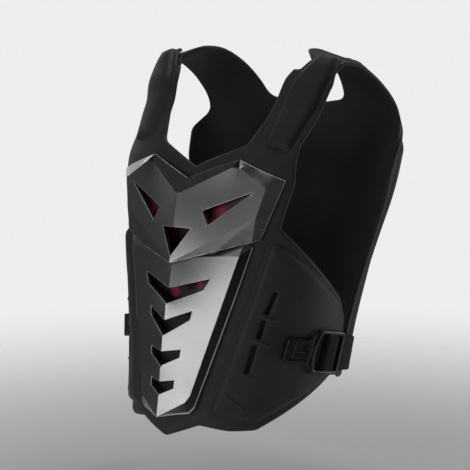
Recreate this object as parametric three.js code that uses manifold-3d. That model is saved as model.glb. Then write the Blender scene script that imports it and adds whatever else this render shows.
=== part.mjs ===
// Motorcycle armour vest: moulded foam chest and back panels, two hard chest plates and side buckles.
// Millimetres, +Z up. The chest faces -Y and the wearer's left is +X.
// The origin lies on top of the shoulders, midway between the two shoulder arms.
//
// The foam pieces are flat patterns. Each is cut flat, gets its raised fields and slots, and is
// then wrapped on the wearer's form. A pattern place has three measures: across, along the body from
// the middle of the chest or back; down, along the body from the top of the shoulder; and lift, out
// from the body.
import * as THREE from 'three';
import { mergeVertices } from 'three/addons/utils/BufferGeometryUtils.js';
import Module from 'manifold-3d';

const wasm = await Module();
wasm.setup();

// The wearer's form that the vest hangs on.
const formRun = 600; // down the chest, from the top of the shoulder
const formDrop = 538; // the same stretch, measured upright
const chestDepth = 201; // from the shoulder line to the chest at the hem
const backDepth = 122; // from the shoulder line to the fullest part of the back
const formHalfWidth = 190;
const neckFlatHalf = 85; // the shoulders fall away from here outwards

// Foam panels.
const foamEdge = 6; // pressed border
const fieldRaise = 6; // raised fields above the border
const fieldDraft = 5; // slope of a raised field's side
const chestPanelRun = 571.5; // from the top of the shoulder to the point of the hem
const flankReach = 265; // from the middle of the chest to the end of a flank
const armReach = 156; // from the middle to the outer edge of a shoulder arm
const backPanelRun = 498;
const backReach = 208;
const armOverlap = 48; // how far the back panel's arms reach over the shoulder, under the chest's
const overlapRamp = 45; // the chest panel's arms step down to the body over this length
const seatGap = 0.6; // between a piece and what it lies on
const armGap = 1.2; // between the chest panel's arms and the back panel's

// Slots in the flank fields.
const slotWidth = 6;
const slotFloor = 2; // foam left under a slot

// Hard chest plates.
const shell = 3.2;
const ridgeRise = 27.6; // the middle ridge above the rim
const upperPlateTop = 197.5; // down the chest to the peaks of the upper plate
const upperPlateRun = 142;
const upperPlateHalf = 137.7;
const lowerPlateTop = 308;
const lowerPlateRun = 238;
const lowerPlateHalf = 103;
const ventCollarDepth = 6.5;
const ventCollarWall = 2.2;

// Red lining behind the vents.
const liningThickness = 1;

// Side buckles and straps.
const webbingWidth = 48;
const webbingThickness = 2;
const buckleAcross = 216; // from the middle of the chest round to the buckle's middle
const buckleDown = 458.5; // from the top of the shoulder
const strapTilt = 0.2; // the strap runs a little downhill towards the back, in radians
const frameWidth = 54;
const frameBar = 5.5;
const frameThickness = 4;
const frameBow = 7; // the bar beside the socket bows out by this much
const socketHeight = 32;
const socketLength = 37;
const socketWall = 2.4;
const socketRound = 3;
const mouthFlare = 4; // the socket widens by this much on each side towards its mouth
const flareLength = 12;
const flareRound = 20;
const mouthRound = 2;
const tongueWidth = 15;
const tongueThickness = 3;
const tongueReach = 20; // beyond the frame
const tongueRound = 2;
const tongueEndGap = 2;
const barHalf = 7; // half the width of the frame's middle bar
const barThickness = 2.6;
const frameRound = 7;
const windowRound = 4;
const bowRound = 40;
const plasticGap = 0.9; // between the frame, the socket and the webbing
const strapOnBack = 40; // stitched length on the back panel
const strapEdgeShare = 0.775; // the back panel's edge beside the strap, a share of backReach
const strapGap = 0.7; // between the webbing and the panels

// Fineness of the facets.
const foamStep = 20; // spacing of the bends in a wrapped panel
const plasticStep = 12; // the same in a buckle
const latticeShift = 1; // cells beyond the outline on each side
const sectionSteps = 512; // pieces in half a section of the form
const normalReach = 3; // the way out from the form is taken between places this far away
const cornerPieces = 3; // pieces in each rounded corner
const roundRoom = 0.45; // a rounded corner takes no more than this share of a side
const rimPieces = 5; // pieces along an upper rim or crease of the upper plate
const sideRimPieces = 6;
const tipPieces = 3;
const lowerRimPieces = 10;
const bottomPieces = 4;
const ribbonSteps = 4; // pieces across the webbing
const weldReach = 1e-4; // corners nearer than this are one corner

// Blocks for cutting and joining.
const cutOver = 1; // a cutting block stands out this far
const joinOver = 1; // joined blocks go this far into each other
const ventReach = 400; // a vent's cutting block starts this far in front of the shoulder line
const sharpestStretch = 1.6; // a sharp corner is drawn out no more than this many times as far
const sharpestFold = 2; // the same for a fold of the webbing

// Heights above the form.
const rimLift = foamEdge + seatGap + shell;
const fieldLift = foamEdge + fieldRaise;
const strapLift = fieldLift + strapGap;
const frameLift = strapLift + webbingThickness + plasticGap;
const socketMiddle = frameLift + frameThickness / 2;

// Sections of the form, from the shoulder down. run is a share of formRun, drop of formDrop, front and
// side of chestDepth, back of backDepth and half of formHalfWidth. squareFront and squareBack say how
// square the two halves are, and fall is how steeply the shoulders slope.
const formSections = [
  { run: 0.000, drop: 0.000, front: 0.000, side: 0.000, back: 0.00,
    half: 1.000, squareFront: 2.60, squareBack: 2.60, fall: 0.26 },
  { run: 0.042, drop: 0.011, front: 0.119, side: 0.000, back: 0.32,
    half: 1.000, squareFront: 2.60, squareBack: 2.80, fall: 0.26 },
  { run: 0.100, drop: 0.058, front: 0.234, side: -0.010, back: 0.68,
    half: 1.000, squareFront: 2.60, squareBack: 3.60, fall: 0.22 },
  { run: 0.183, drop: 0.134, front: 0.388, side: -0.020, back: 0.96,
    half: 0.989, squareFront: 2.70, squareBack: 4.60, fall: 0.12 },
  { run: 0.275, drop: 0.217, front: 0.542, side: -0.030, back: 1.03,
    half: 0.974, squareFront: 2.80, squareBack: 4.60, fall: 0.03 },
  { run: 0.342, drop: 0.279, front: 0.647, side: -0.025, back: 1.02,
    half: 0.950, squareFront: 2.90, squareBack: 4.20, fall: 0.00 },
  { run: 0.425, drop: 0.370, front: 0.701, side: 0.000, back: 1.01,
    half: 0.910, squareFront: 2.90, squareBack: 3.60, fall: 0.00 },
  { run: 0.508, drop: 0.461, front: 0.741, side: 0.040, back: 0.96,
    half: 0.860, squareFront: 2.75, squareBack: 3.10, fall: 0.00 },
  { run: 0.600, drop: 0.563, front: 0.786, side: 0.090, back: 0.88,
    half: 0.805, squareFront: 2.55, squareBack: 2.80, fall: 0.00 },
  { run: 0.700, drop: 0.673, front: 0.846, side: 0.139, back: 0.77,
    half: 0.760, squareFront: 2.30, squareBack: 2.60, fall: 0.00 },
  { run: 0.800, drop: 0.783, front: 0.905, side: 0.189, back: 0.67,
    half: 0.730, squareFront: 2.10, squareBack: 2.50, fall: 0.00 },
  { run: 0.900, drop: 0.890, front: 0.955, side: 0.219, back: 0.61,
    half: 0.715, squareFront: 2.00, squareBack: 2.40, fall: 0.00 },
  { run: 1.000, drop: 1.000, front: 1.000, side: 0.239, back: 0.59,
    half: 0.715, squareFront: 1.90, squareBack: 2.40, fall: 0.00 },
];

// One half of the chest panel's outline, from the neck round to the hem. down is a share of
// chestPanelRun; across is a share of flankReach, or of armReach where arm is 1. round is the corner's
// radius.
const chestOutline = [
  { across: 0.000, down: 0.364, arm: 0, round: 0 },
  { across: 0.455, down: 0.303, arm: 1, round: 22 },
  { across: 0.545, down: 0.222, arm: 1, round: 60 },
  { across: 0.583, down: 0.122, arm: 1, round: 60 },
  { across: 0.619, down: 0.093, arm: 1, round: 5 },
  { across: 0.676, down: 0.088, arm: 1, round: 5 },
  { across: 0.766, down: 0.036, arm: 1, round: 8 },
  { across: 0.776, down: 0.019, arm: 1, round: 5 },
  { across: 0.970, down: 0.023, arm: 1, round: 8 },
  { across: 0.997, down: 0.108, arm: 1, round: 60 },
  { across: 0.968, down: 0.226, arm: 1, round: 60 },
  { across: 0.920, down: 0.300, arm: 1, round: 30 },
  { across: 0.959, down: 0.392, arm: 1, round: 40 },
  { across: 0.860, down: 0.496, arm: 1, round: 4 },
  { across: 0.709, down: 0.588, arm: 0, round: 90 },
  { across: 0.925, down: 0.677, arm: 0, round: 12 },
  { across: 0.998, down: 0.734, arm: 0, round: 40 },
  { across: 1.002, down: 0.852, arm: 0, round: 15 },
  { across: 0.461, down: 0.979, arm: 0, round: 18 },
  { across: 0.325, down: 0.979, arm: 0, round: 60 },
  { across: 0.179, down: 0.967, arm: 0, round: 10 },
  { across: 0.000, down: 1.000, arm: 0, round: 9 },
];

// Raised pad on each shoulder arm: shares of armReach and chestPanelRun.
const armPadOutline = [
  { across: 0.628, down: 0.297, round: 5 },
  { across: 0.850, down: 0.315, round: 6 },
  { across: 0.885, down: 0.255, round: 40 },
  { across: 0.935, down: 0.175, round: 60 },
  { across: 0.958, down: 0.090, round: 40 },
  { across: 0.950, down: 0.032, round: 5 },
  { across: 0.800, down: 0.030, round: 5 },
  { across: 0.785, down: 0.044, round: 10 },
  { across: 0.700, down: 0.098, round: 20 },
  { across: 0.655, down: 0.140, round: 60 },
];

// Raised field on each flank: shares of flankReach and chestPanelRun.
const flankFieldOutline = [
  { across: 0.469, down: 0.518, round: 12 },
  { across: 0.898, down: 0.679, round: 16 },
  { across: 0.934, down: 0.764, round: 30 },
  { across: 0.858, down: 0.869, round: 16 },
  { across: 0.455, down: 0.959, round: 12 },
  { across: 0.222, down: 0.940, round: 9 },
];

// Ladder of slots in each flank field: the upper and lower end of each, same shares.
const flankSlots = [
  { acrossTop: 0.496, downTop: 0.645, acrossEnd: 0.460, downEnd: 0.695 },
  { acrossTop: 0.450, downTop: 0.711, acrossEnd: 0.432, downEnd: 0.753 },
  { acrossTop: 0.417, downTop: 0.770, acrossEnd: 0.388, downEnd: 0.835 },
];

// One half of the back panel's outline, from its collar round to its hem: shares of backReach and
// backPanelRun. The arms' outer edge is a share of armReach, where arm is 1.
const backOutline = [
  { across: 0.000, down: 0.245, arm: 0, round: 60 },
  { across: 0.430, down: 0.222, arm: 1, round: 20 },
  { across: 0.520, down: 0.080, arm: 1, round: 60 },
  { across: 0.570, down: -0.006, arm: 1, round: 12 },
  { across: 0.715, down: -0.056, arm: 1, round: 8 },
  { across: 0.692, down: -1, arm: 1, round: 5 },
  { across: 0.958, down: -1, arm: 1, round: 5 },
  { across: 1.000, down: -0.010, arm: 1, round: 60 },
  { across: 1.060, down: 0.150, arm: 1, round: 80 },
  { across: 1.090, down: 0.270, arm: 1, round: 40 },
  { across: 0.960, down: 0.340, arm: 0, round: 30 },
  { across: 0.970, down: 0.440, arm: 0, round: 40 },
  { across: 0.800, down: 0.700, arm: 0, round: 60 },
  { across: 0.785, down: 0.900, arm: 0, round: 60 },
  { across: 0.790, down: 0.998, arm: 0, round: 14 },
  { across: 0.560, down: 1.040, arm: 0, round: 30 },
  { across: 0.000, down: 1.010, arm: 0, round: 120 },
];

// Raised field of the back panel: shares of backReach and backPanelRun.
const backFieldOutline = [
  { across: 0.000, down: 0.300, round: 60 },
  { across: 0.340, down: 0.275, round: 22 },
  { across: 0.480, down: 0.110, round: 60 },
  { across: 0.520, down: 0.060, round: 12 },
  { across: 0.670, down: 0.060, round: 12 },
  { across: 0.700, down: 0.150, round: 60 },
  { across: 0.715, down: 0.290, round: 30 },
  { across: 0.865, down: 0.375, round: 20 },
  { across: 0.870, down: 0.450, round: 40 },
  { across: 0.705, down: 0.700, round: 60 },
  { across: 0.705, down: 0.900, round: 40 },
  { across: 0.712, down: 0.985, round: 12 },
  { across: 0.540, down: 1.010, round: 24 },
  { across: 0.000, down: 0.965, round: 120 },
];

// Corners of the upper plate on the wearer's left. across is a share of upperPlateHalf, down of
// upperPlateRun below the plate's top, and rise of ridgeRise above the rim.
const upperCorners = {
  notch: { across: 0.000, down: 0.194, rise: 0.28 },
  peak: { across: 0.524, down: 0.000, rise: 0.00 },
  shoulder: { across: 0.998, down: 0.166, rise: 0.000 },
  lowerSide: { across: 0.809, down: 0.709, rise: 0.080 },
  lowerEdge: { across: 0.736, down: 0.740, rise: 0.264 },
  lowerMiddle: { across: 0.433, down: 0.847, rise: 0.634 },
  tip: { across: 0.000, down: 1.000, rise: 1.00 },
  ridgeTop: { across: 0.000, down: 0.356, rise: 0.93 },
  ridgeMiddle: { across: 0.000, down: 0.657, rise: 0.99 },
  peakInner: { across: 0.487, down: 0.079, rise: 0.192 },
  peakOuter: { across: 0.564, down: 0.080, rise: 0.232 },
  shoulderInner: { across: 0.836, down: 0.242, rise: 0.271 },
  sideInner: { across: 0.767, down: 0.509, rise: 0.345 },
};

// The lower plate's middle ridge: shares of lowerPlateRun and ridgeRise.
const ridgeLine = [
  { down: 0.100, rise: 0.70 },
  { down: 0.160, rise: 0.79 },
  { down: 0.274, rise: 0.83 },
  { down: 0.361, rise: 0.90 },
  { down: 0.455, rise: 0.86 },
  { down: 0.540, rise: 0.85 },
  { down: 0.630, rise: 0.79 },
  { down: 0.709, rise: 0.74 },
  { down: 0.800, rise: 0.67 },
  { down: 0.874, rise: 0.64 },
  { down: 1.000, rise: 0.62 },
];

// The lower plate's side crease and rim: shares of lowerPlateHalf, lowerPlateRun and ridgeRise. From
// the crease's top the plate tucks in under the upper one.
const lowerTuck = { across: 0.889, down: -0.020, rise: 0.110 };
const lowerCreaseTop = { across: 0.845, down: 0.054, rise: 0.334 };
const lowerCreaseEnd = { across: 0.365, down: 0.859, rise: 0.339 };
const lowerCreaseTurn = { across: 0.313, down: 0.899, rise: 0.382 };
const lowerRimTop = { across: 0.989, down: 0.003, rise: 0.000 };
const lowerRimEnd = { across: 0.414, down: 0.929, rise: 0.110 };
const lowerRimTurn = { across: 0.352, down: 0.961, rise: 0.120 };

// Vents, cut straight through from the front. The two large ones and the middle one in the upper
// plate: shares of upperPlateHalf and, below the plate's top, of upperPlateRun.
const sideVent = [
  { across: 0.719, down: 0.282 },
  { across: 0.261, down: 0.482 },
  { across: 0.325, down: 0.612 },
];
const middleVent = [
  { across: 0.000, down: 0.658 },
  { across: 0.168, down: 0.665 },
  { across: 0.000, down: 0.930 },
];

// How far a vent's corners stand above the rim, as shares of ridgeRise.
const ventRise = { side: 0.46, middle: 0.9, chevronTip: 0.48, chevronMiddle: 0.8 };

// Chevron vents in the lower plate, half of each: shares of lowerPlateHalf and lowerPlateRun.
const chevrons = [
  { topDown: 0.274, tipAcross: 0.500, tipDown: 0.199, lowAcross: 0.424, lowDown: 0.265, endDown: 0.361 },
  { topDown: 0.455, tipAcross: 0.316, tipDown: 0.387, lowAcross: 0.300, lowDown: 0.435, endDown: 0.540 },
  { topDown: 0.630, tipAcross: 0.217, tipDown: 0.606, lowAcross: 0.209, lowDown: 0.648, endDown: 0.709 },
  { topDown: 0.800, tipAcross: 0.165, tipDown: 0.780, lowAcross: 0.162, lowDown: 0.825, endDown: 0.874 },
];

// The lining behind the side vents and the first chevron: shares of upperPlateHalf, and of
// upperPlateRun below the upper plate's top.
const liningOutline = [
  { across: 0.000, down: 0.330, round: 10 },
  { across: 0.740, down: 0.200, round: 8 },
  { across: 0.700, down: 0.560, round: 8 },
  { across: 0.480, down: 1.330, round: 8 },
  { across: 0.000, down: 1.420, round: 10 },
];

// The webbing over and round the frame's middle bar. end says which side of the bar. beyond its edge and
// below the highest place are shares of webbingThickness.
const webbingLoop = [
  { end: 1, beyond: 2.50, below: 1.2 },
  { end: 1, beyond: 0.50, below: 0.0 },
  { end: 0, beyond: 0.00, below: 0.0 },
  { end: -1, beyond: 0.25, below: 0.0 },
  { end: -1, beyond: 1.75, below: 1.2 },
  { end: -1, beyond: 1.85, below: 3.0 },
];

const finishes = {
  foam: { color: 0x17171a, roughness: 0.8, metalness: 0 },
  plate: { color: 0x6a6a6d, roughness: 0.38, metalness: 0.5 },
  lining: { color: 0xa8203a, roughness: 0.7, metalness: 0 },
  buckle: { color: 0x0f0f11, roughness: 0.4, metalness: 0 },
  webbing: { color: 0x141416, roughness: 0.85, metalness: 0 },
};

// The form's section at a run down the body, by smooth steps through the table.
function formSection(run) {
  const runs = formSections.map((row) => row.run * formRun);
  const last = runs.length - 1;
  const place = Math.min(Math.max(run, 0), runs[last]);
  let index = 0;
  while (index < last - 1 && place > runs[index + 1]) index += 1;
  const span = runs[index + 1] - runs[index];
  const t = (place - runs[index]) / span;
  const slope = (key, i) => {
    if (i === 0 && key === 'drop') return 0;
    const before = Math.max(i - 1, 0);
    const after = Math.min(i + 1, last);
    return (formSections[after][key] - formSections[before][key]) / (runs[after] - runs[before]);
  };
  const value = (key) => {
    const a = formSections[index][key];
    const b = formSections[index + 1][key];
    const fromA = a * (2 * t ** 3 - 3 * t ** 2 + 1) + slope(key, index) * span * (t ** 3 - 2 * t ** 2 + t);
    const fromB = b * (3 * t ** 2 - 2 * t ** 3) + slope(key, index + 1) * span * (t ** 3 - t ** 2);
    return fromA + fromB;
  };
  return {
    height: -value('drop') * formDrop,
    front: -value('front') * chestDepth,
    side: -value('side') * chestDepth,
    back: value('back') * backDepth,
    half: value('half') * formHalfWidth,
    squareFront: value('squareFront'),
    squareBack: value('squareBack'),
    fall: value('fall'),
  };
}

// A section walked round from the middle of the chest (face 1) or back (face -1) to the other side,
// with the length walked at each step.
const walkedSections = new Map();
function walkedSection(run, face) {
  const key = `${run.toFixed(3)} ${face}`;
  if (walkedSections.has(key)) return walkedSections.get(key);
  const section = formSection(run);
  const near = face > 0 ? { depth: section.front, square: section.squareFront }
    : { depth: section.back, square: section.squareBack };
  const far = face > 0 ? { depth: section.back, square: section.squareBack }
    : { depth: section.front, square: section.squareFront };
  const walked = [];
  for (let i = 0; i <= sectionSteps; i += 1) {
    const turn = (i / sectionSteps) * Math.PI;
    const half = turn <= Math.PI / 2 ? near : far;
    const x = section.half * Math.abs(Math.sin(turn)) ** (2 / half.square);
    const y = section.side + (half.depth - section.side) * Math.abs(Math.cos(turn)) ** (2 / half.square);
    const before = walked[i - 1];
    const length = before ? before.length + Math.hypot(x - before.x, y - before.y) : 0;
    walked.push({ x, y, length });
  }
  const result = { section, walked };
  walkedSections.set(key, result);
  return result;
}

// The point of the form at a pattern place. A negative down runs over the shoulder to the other face.
function formPoint(across, down, face) {
  const nearFace = down < 0 ? -face : face;
  const { section, walked } = walkedSection(Math.abs(down), nearFace);
  const length = Math.min(Math.abs(across), walked[sectionSteps].length);
  let low = 0;
  let high = sectionSteps;
  while (high - low > 1) {
    const middle = (low + high) >> 1;
    if (walked[middle].length <= length) low = middle;
    else high = middle;
  }
  const share = (length - walked[low].length) / (walked[high].length - walked[low].length);
  const x = walked[low].x + share * (walked[high].x - walked[low].x);
  const y = walked[low].y + share * (walked[high].y - walked[low].y);
  const height = section.height - section.fall * Math.max(0, x - neckFlatHalf);
  return new THREE.Vector3(Math.sign(across) * face * x, y, height);
}

// The way out from the form at a pattern place.
function formNormal(across, down, face) {
  const right = formPoint(across + normalReach, down, face);
  const left = formPoint(across - normalReach, down, face);
  const above = formPoint(across, down - normalReach, face);
  const below = formPoint(across, down + normalReach, face);
  const alongAcross = right.sub(left);
  const alongUp = above.sub(below);
  return alongAcross.cross(alongUp).normalize();
}

function lifted(across, down, lift, face) {
  return formPoint(across, down, face).addScaledVector(formNormal(across, down, face), lift);
}

function smoothStep(share) {
  const t = Math.min(Math.max(share, 0), 1);
  return t * t * (3 - 2 * t);
}

// The chest panel's arms lie on the back panel's arms, so their underside is lifted there.
function armRise(across, down) {
  const onBackArm = 1 - smoothStep((down - armOverlap - foamStep) / overlapRamp);
  return onBackArm * (foamEdge + armGap);
}

// A closed mesh made into a solid for joining and cutting. With ownFaces each cell of two triangles
// stays a face of its own, so that the bends of a lattice are kept.
function toSolid(geometry, ownFaces = false) {
  const plain = geometry.clone();
  plain.deleteAttribute('normal');
  plain.deleteAttribute('uv');
  const merged = mergeVertices(plain, weldReach);
  const triVerts = new Uint32Array(merged.index.array);
  const vertProperties = new Float32Array(merged.attributes.position.array);
  const options = { numProp: 3, vertProperties, triVerts };
  if (ownFaces) options.faceID = Uint32Array.from({ length: triVerts.length / 3 }, (unused, i) => i >> 1);
  return new wasm.Manifold(new wasm.Mesh(options));
}

// A solid as a geometry, with each vertex moved by place.
function toGeometry(solid, place = (point) => point) {
  const mesh = solid.getMesh();
  const positions = [];
  for (let i = 0; i < mesh.vertProperties.length; i += mesh.numProp) {
    const point = new THREE.Vector3().fromArray(mesh.vertProperties, i);
    positions.push(...place(point).toArray());
  }
  const geometry = new THREE.BufferGeometry();
  geometry.setAttribute('position', new THREE.Float32BufferAttribute(positions, 3));
  geometry.setIndex(Array.from(mesh.triVerts));
  const faceted = geometry.toNonIndexed();
  faceted.computeVertexNormals();
  return faceted;
}

// A slab of small cells, between two heights, for a pattern that is to be wrapped. The cells' edges lie
// at whole steps, so that pieces that lie on each other bend at the same places.
function latticeSlab(points, low, high, step) {
  const box = new THREE.Box2().setFromPoints(points);
  const start = box.min.clone().divideScalar(step).floor().addScalar(-latticeShift);
  const end = box.max.clone().divideScalar(step).ceil().addScalar(latticeShift);
  const cells = end.clone().sub(start).round();
  const slab = new THREE.BoxGeometry(cells.x * step, cells.y * step, high - low, cells.x, cells.y, 1);
  const middle = start.add(end).multiplyScalar(step / 2);
  slab.translate(middle.x, middle.y, (low + high) / 2);
  return toSolid(slab, true);
}

// A closed outline with its corners rounded: rows of x, y and round. Every round has as many pieces.
function roundedOutline(corners) {
  const points = [];
  const count = corners.length;
  for (let i = 0; i < count; i += 1) {
    const corner = new THREE.Vector2(corners[i].x, corners[i].y);
    if (!(corners[i].round > 0)) {
      points.push(corner);
      continue;
    }
    const before = corners[(i + count - 1) % count];
    const after = corners[(i + 1) % count];
    const toBefore = new THREE.Vector2(before.x, before.y).sub(corner);
    const toAfter = new THREE.Vector2(after.x, after.y).sub(corner);
    const room = roundRoom * Math.min(toBefore.length(), toAfter.length());
    toBefore.normalize();
    toAfter.normalize();
    const turn = Math.PI - Math.acos(THREE.MathUtils.clamp(toBefore.dot(toAfter), -1, 1));
    const cut = Math.min(corners[i].round * Math.tan(turn / 2), room);
    const start = corner.clone().addScaledVector(toBefore, cut);
    const end = corner.clone().addScaledVector(toAfter, cut);
    points.push(...new THREE.QuadraticBezierCurve(start, corner, end).getPoints(cornerPieces));
  }
  return points;
}

// Rows of across and down as outline corners. The pattern's up is against down.
function patternCorners(rows, acrossSize, downSize, downStart = 0) {
  return rows.map((row) => ({
    x: row.across * (typeof acrossSize === 'function' ? acrossSize(row) : acrossSize),
    y: -(downStart + row.down * downSize),
    round: row.round ?? 0,
  }));
}

// Half an outline, from the middle round to the middle, closed with its mirror.
function mirroredCorners(half) {
  const inner = half.slice(1, -1).reverse().map((corner) => ({ ...corner, x: -corner.x }));
  return [...half, ...inner];
}

function mirrored(corners) {
  return corners.map((corner) => ({ ...corner, x: -corner.x })).reverse();
}

function prism(points, low, high) {
  const shape = new THREE.Shape(points);
  const geometry = new THREE.ExtrudeGeometry(shape, { depth: high - low, bevelEnabled: false });
  geometry.translate(0, 0, low);
  return toSolid(geometry);
}

// A raised field's block: upright up to the border's face, and drawn in from there to its own face.
function draftedPrism(rows) {
  const corners = THREE.ShapeUtils.isClockWise(rows) ? [...rows].reverse() : rows;
  const foot = roundedOutline(corners);
  const drawnIn = outset(corners.map((corner) => new THREE.Vector2(corner.x, corner.y)), -fieldDraft);
  const faceCorners = corners.map((corner, i) => ({ ...corner, x: drawnIn[i].x, y: drawnIn[i].y }));
  const face = roundedOutline(faceCorners);
  const rings = [[foot, 0], [foot, foamEdge], [face, fieldLift]];
  const count = foot.length;
  const positions = rings.flatMap(([points, z]) => points.flatMap((point) => [point.x, point.y, z]));
  const index = [];
  for (let ring = 0; ring < rings.length - 1; ring += 1) {
    for (let i = 0; i < count; i += 1) {
      const a = ring * count + i;
      const b = ring * count + ((i + 1) % count);
      index.push(a, b, b + count, a, b + count, a + count);
    }
  }
  const top = (rings.length - 1) * count;
  for (const [a, b, c] of THREE.ShapeUtils.triangulateShape(foot, [])) index.push(a, c, b);
  for (const [a, b, c] of THREE.ShapeUtils.triangulateShape(face, [])) {
    index.push(top + a, top + b, top + c);
  }
  const geometry = new THREE.BufferGeometry();
  geometry.setAttribute('position', new THREE.Float32BufferAttribute(positions, 3));
  geometry.setIndex(index);
  return toSolid(geometry);
}

// A flat pattern: the pressed border, the raised fields on it and the slots pressed into it.
function flatPattern(outline, fields, slots) {
  const sheet = latticeSlab(outline, 0, foamEdge, foamStep);
  let pattern = sheet.intersect(prism(outline, -cutOver, foamEdge + cutOver));
  for (const field of fields) {
    const root = foamEdge / 2;
    const block = latticeSlab(outline, root, fieldLift, foamStep);
    pattern = pattern.add(block.intersect(draftedPrism(field)));
  }
  for (const slot of slots) {
    pattern = pattern.subtract(prism(slot, slotFloor, fieldLift + cutOver));
  }
  return pattern;
}

// A straight slot as a four-cornered outline.
function slotOutline(row) {
  const start = new THREE.Vector2(row.acrossTop * flankReach, -row.downTop * chestPanelRun);
  const end = new THREE.Vector2(row.acrossEnd * flankReach, -row.downEnd * chestPanelRun);
  const half = end.clone().sub(start).normalize().rotateAround(new THREE.Vector2(), Math.PI / 2);
  half.multiplyScalar(slotWidth / 2);
  return [start.clone().sub(half), start.clone().add(half), end.clone().add(half), end.clone().sub(half)];
}

function flipped(points) {
  return points.map((point) => new THREE.Vector2(-point.x, point.y)).reverse();
}

function chestPanel() {
  const acrossSize = (row) => (row.arm ? armReach : flankReach);
  const corners = patternCorners(chestOutline, acrossSize, chestPanelRun);
  const outline = roundedOutline(mirroredCorners(corners));
  const armPad = patternCorners(armPadOutline, armReach, chestPanelRun);
  const flankField = patternCorners(flankFieldOutline, flankReach, chestPanelRun);
  const slots = flankSlots.map(slotOutline);
  const fields = [armPad, flankField, mirrored(armPad), mirrored(flankField)];
  const pattern = flatPattern(outline, fields, [...slots, ...slots.map(flipped)]);
  return toGeometry(pattern, (point) => {
    const down = -point.y;
    return lifted(point.x, down, point.z + armRise(point.x, down), 1);
  });
}

function backPanel() {
  const corners = backOutline.map((row) => ({
    x: row.across * (row.arm ? armReach : backReach),
    y: row.down === -1 ? armOverlap : -row.down * backPanelRun,
    round: row.round,
  }));
  const outline = roundedOutline(mirroredCorners(corners));
  const field = mirroredCorners(patternCorners(backFieldOutline, backReach, backPanelRun));
  const pattern = flatPattern(outline, [field], []);
  return toGeometry(pattern, (point) => lifted(point.x, -point.y, point.z, -1));
}

// A corner of a plate: its outer and inner place, and its pattern place for laying out triangles.
function platePoint(row, half, top, run) {
  const across = row.across * half;
  const down = top + row.down * run;
  const lift = rimLift + row.rise * ridgeRise;
  const outer = lifted(across, down, lift, 1);
  const out = formNormal(across, down, 1);
  return { across, down, lift, outer, out };
}

function between(a, b, share) {
  const mix = (key) => a[key] + share * (b[key] - a[key]);
  return { across: mix('across'), down: mix('down'), lift: mix('lift') };
}

// Points along a rim, which follows the foam.
function rimLine(a, b, count) {
  return Array.from({ length: count + 1 }, (unused, i) => {
    if (i === 0) return a;
    if (i === count) return b;
    const place = between(a, b, i / count);
    place.outer = lifted(place.across, place.down, place.lift, 1);
    place.out = formNormal(place.across, place.down, 1);
    return place;
  });
}

// Points along a crease, which is straight.
function creaseLine(a, b, count) {
  return Array.from({ length: count + 1 }, (unused, i) => {
    if (i === 0) return a;
    if (i === count) return b;
    const place = between(a, b, i / count);
    place.outer = a.outer.clone().lerp(b.outer, i / count);
    place.out = formNormal(place.across, place.down, 1);
    return place;
  });
}

// Triangles between two lines with the same number of points.
function stripFaces(lineA, lineB) {
  const faces = [];
  for (let i = 0; i < lineA.length - 1; i += 1) {
    if (lineA[i] !== lineB[i]) faces.push([lineA[i], lineB[i], lineB[i + 1]]);
    if (lineA[i + 1] !== lineB[i + 1]) faces.push([lineA[i], lineB[i + 1], lineA[i + 1]]);
  }
  return faces;
}

// Triangles that fill a loop of points.
function loopFaces(loop) {
  const flat = loop.map((place) => new THREE.Vector2(place.across, -place.down));
  return THREE.ShapeUtils.triangulateShape(flat, []).map((face) => face.map((i) => loop[i]));
}

// Both halves of a plate's faces as a shell of a given depth, closed round its edges.
function plateShell(halfFaces, depth) {
  const positions = [];
  const indexOf = new Map();
  const pointIndex = (place, side) => {
    const outer = place.outer.clone().setX(side * place.outer.x);
    const key = outer.toArray().map((value) => (value + 0).toFixed(3)).join(' ');
    if (!indexOf.has(key)) {
      indexOf.set(key, positions.length / 2);
      const inner = place.outer.clone().addScaledVector(place.out, -depth);
      positions.push(outer, inner.setX(side * inner.x));
    }
    return indexOf.get(key);
  };
  const faces = [];
  for (const face of halfFaces) {
    const [a, b, c] = face.map((place) => pointIndex(place, 1));
    const [d, e, f] = face.map((place) => pointIndex(place, -1));
    const ab = new THREE.Vector2(face[1].across - face[0].across, face[0].down - face[1].down);
    const ac = new THREE.Vector2(face[2].across - face[0].across, face[0].down - face[2].down);
    if (ab.cross(ac) > 0) faces.push([a, b, c], [d, f, e]);
    else faces.push([a, c, b], [d, e, f]);
  }
  const edges = new Set();
  for (const [a, b, c] of faces) {
    for (const edge of [[a, b], [b, c], [c, a]]) edges.add(edge.join(' '));
  }
  const index = [];
  for (const [a, b, c] of faces) {
    index.push(2 * a, 2 * b, 2 * c, 2 * a + 1, 2 * c + 1, 2 * b + 1);
    for (const [from, to] of [[a, b], [b, c], [c, a]]) {
      if (edges.has(`${to} ${from}`)) continue;
      index.push(2 * from, 2 * from + 1, 2 * to + 1, 2 * from, 2 * to + 1, 2 * to);
    }
  }
  const values = positions.flatMap((point) => point.toArray());
  const geometry = new THREE.BufferGeometry();
  geometry.setAttribute('position', new THREE.Float32BufferAttribute(values, 3));
  geometry.setIndex(index);
  return toSolid(geometry);
}

// A prism through a plate from the front, over an outline in X and Z.
function frontPrism(points) {
  const shape = new THREE.Shape(points);
  const geometry = new THREE.ExtrudeGeometry(shape, { depth: ventReach, bevelEnabled: false });
  geometry.rotateX(Math.PI / 2);
  return toSolid(geometry);
}

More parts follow.
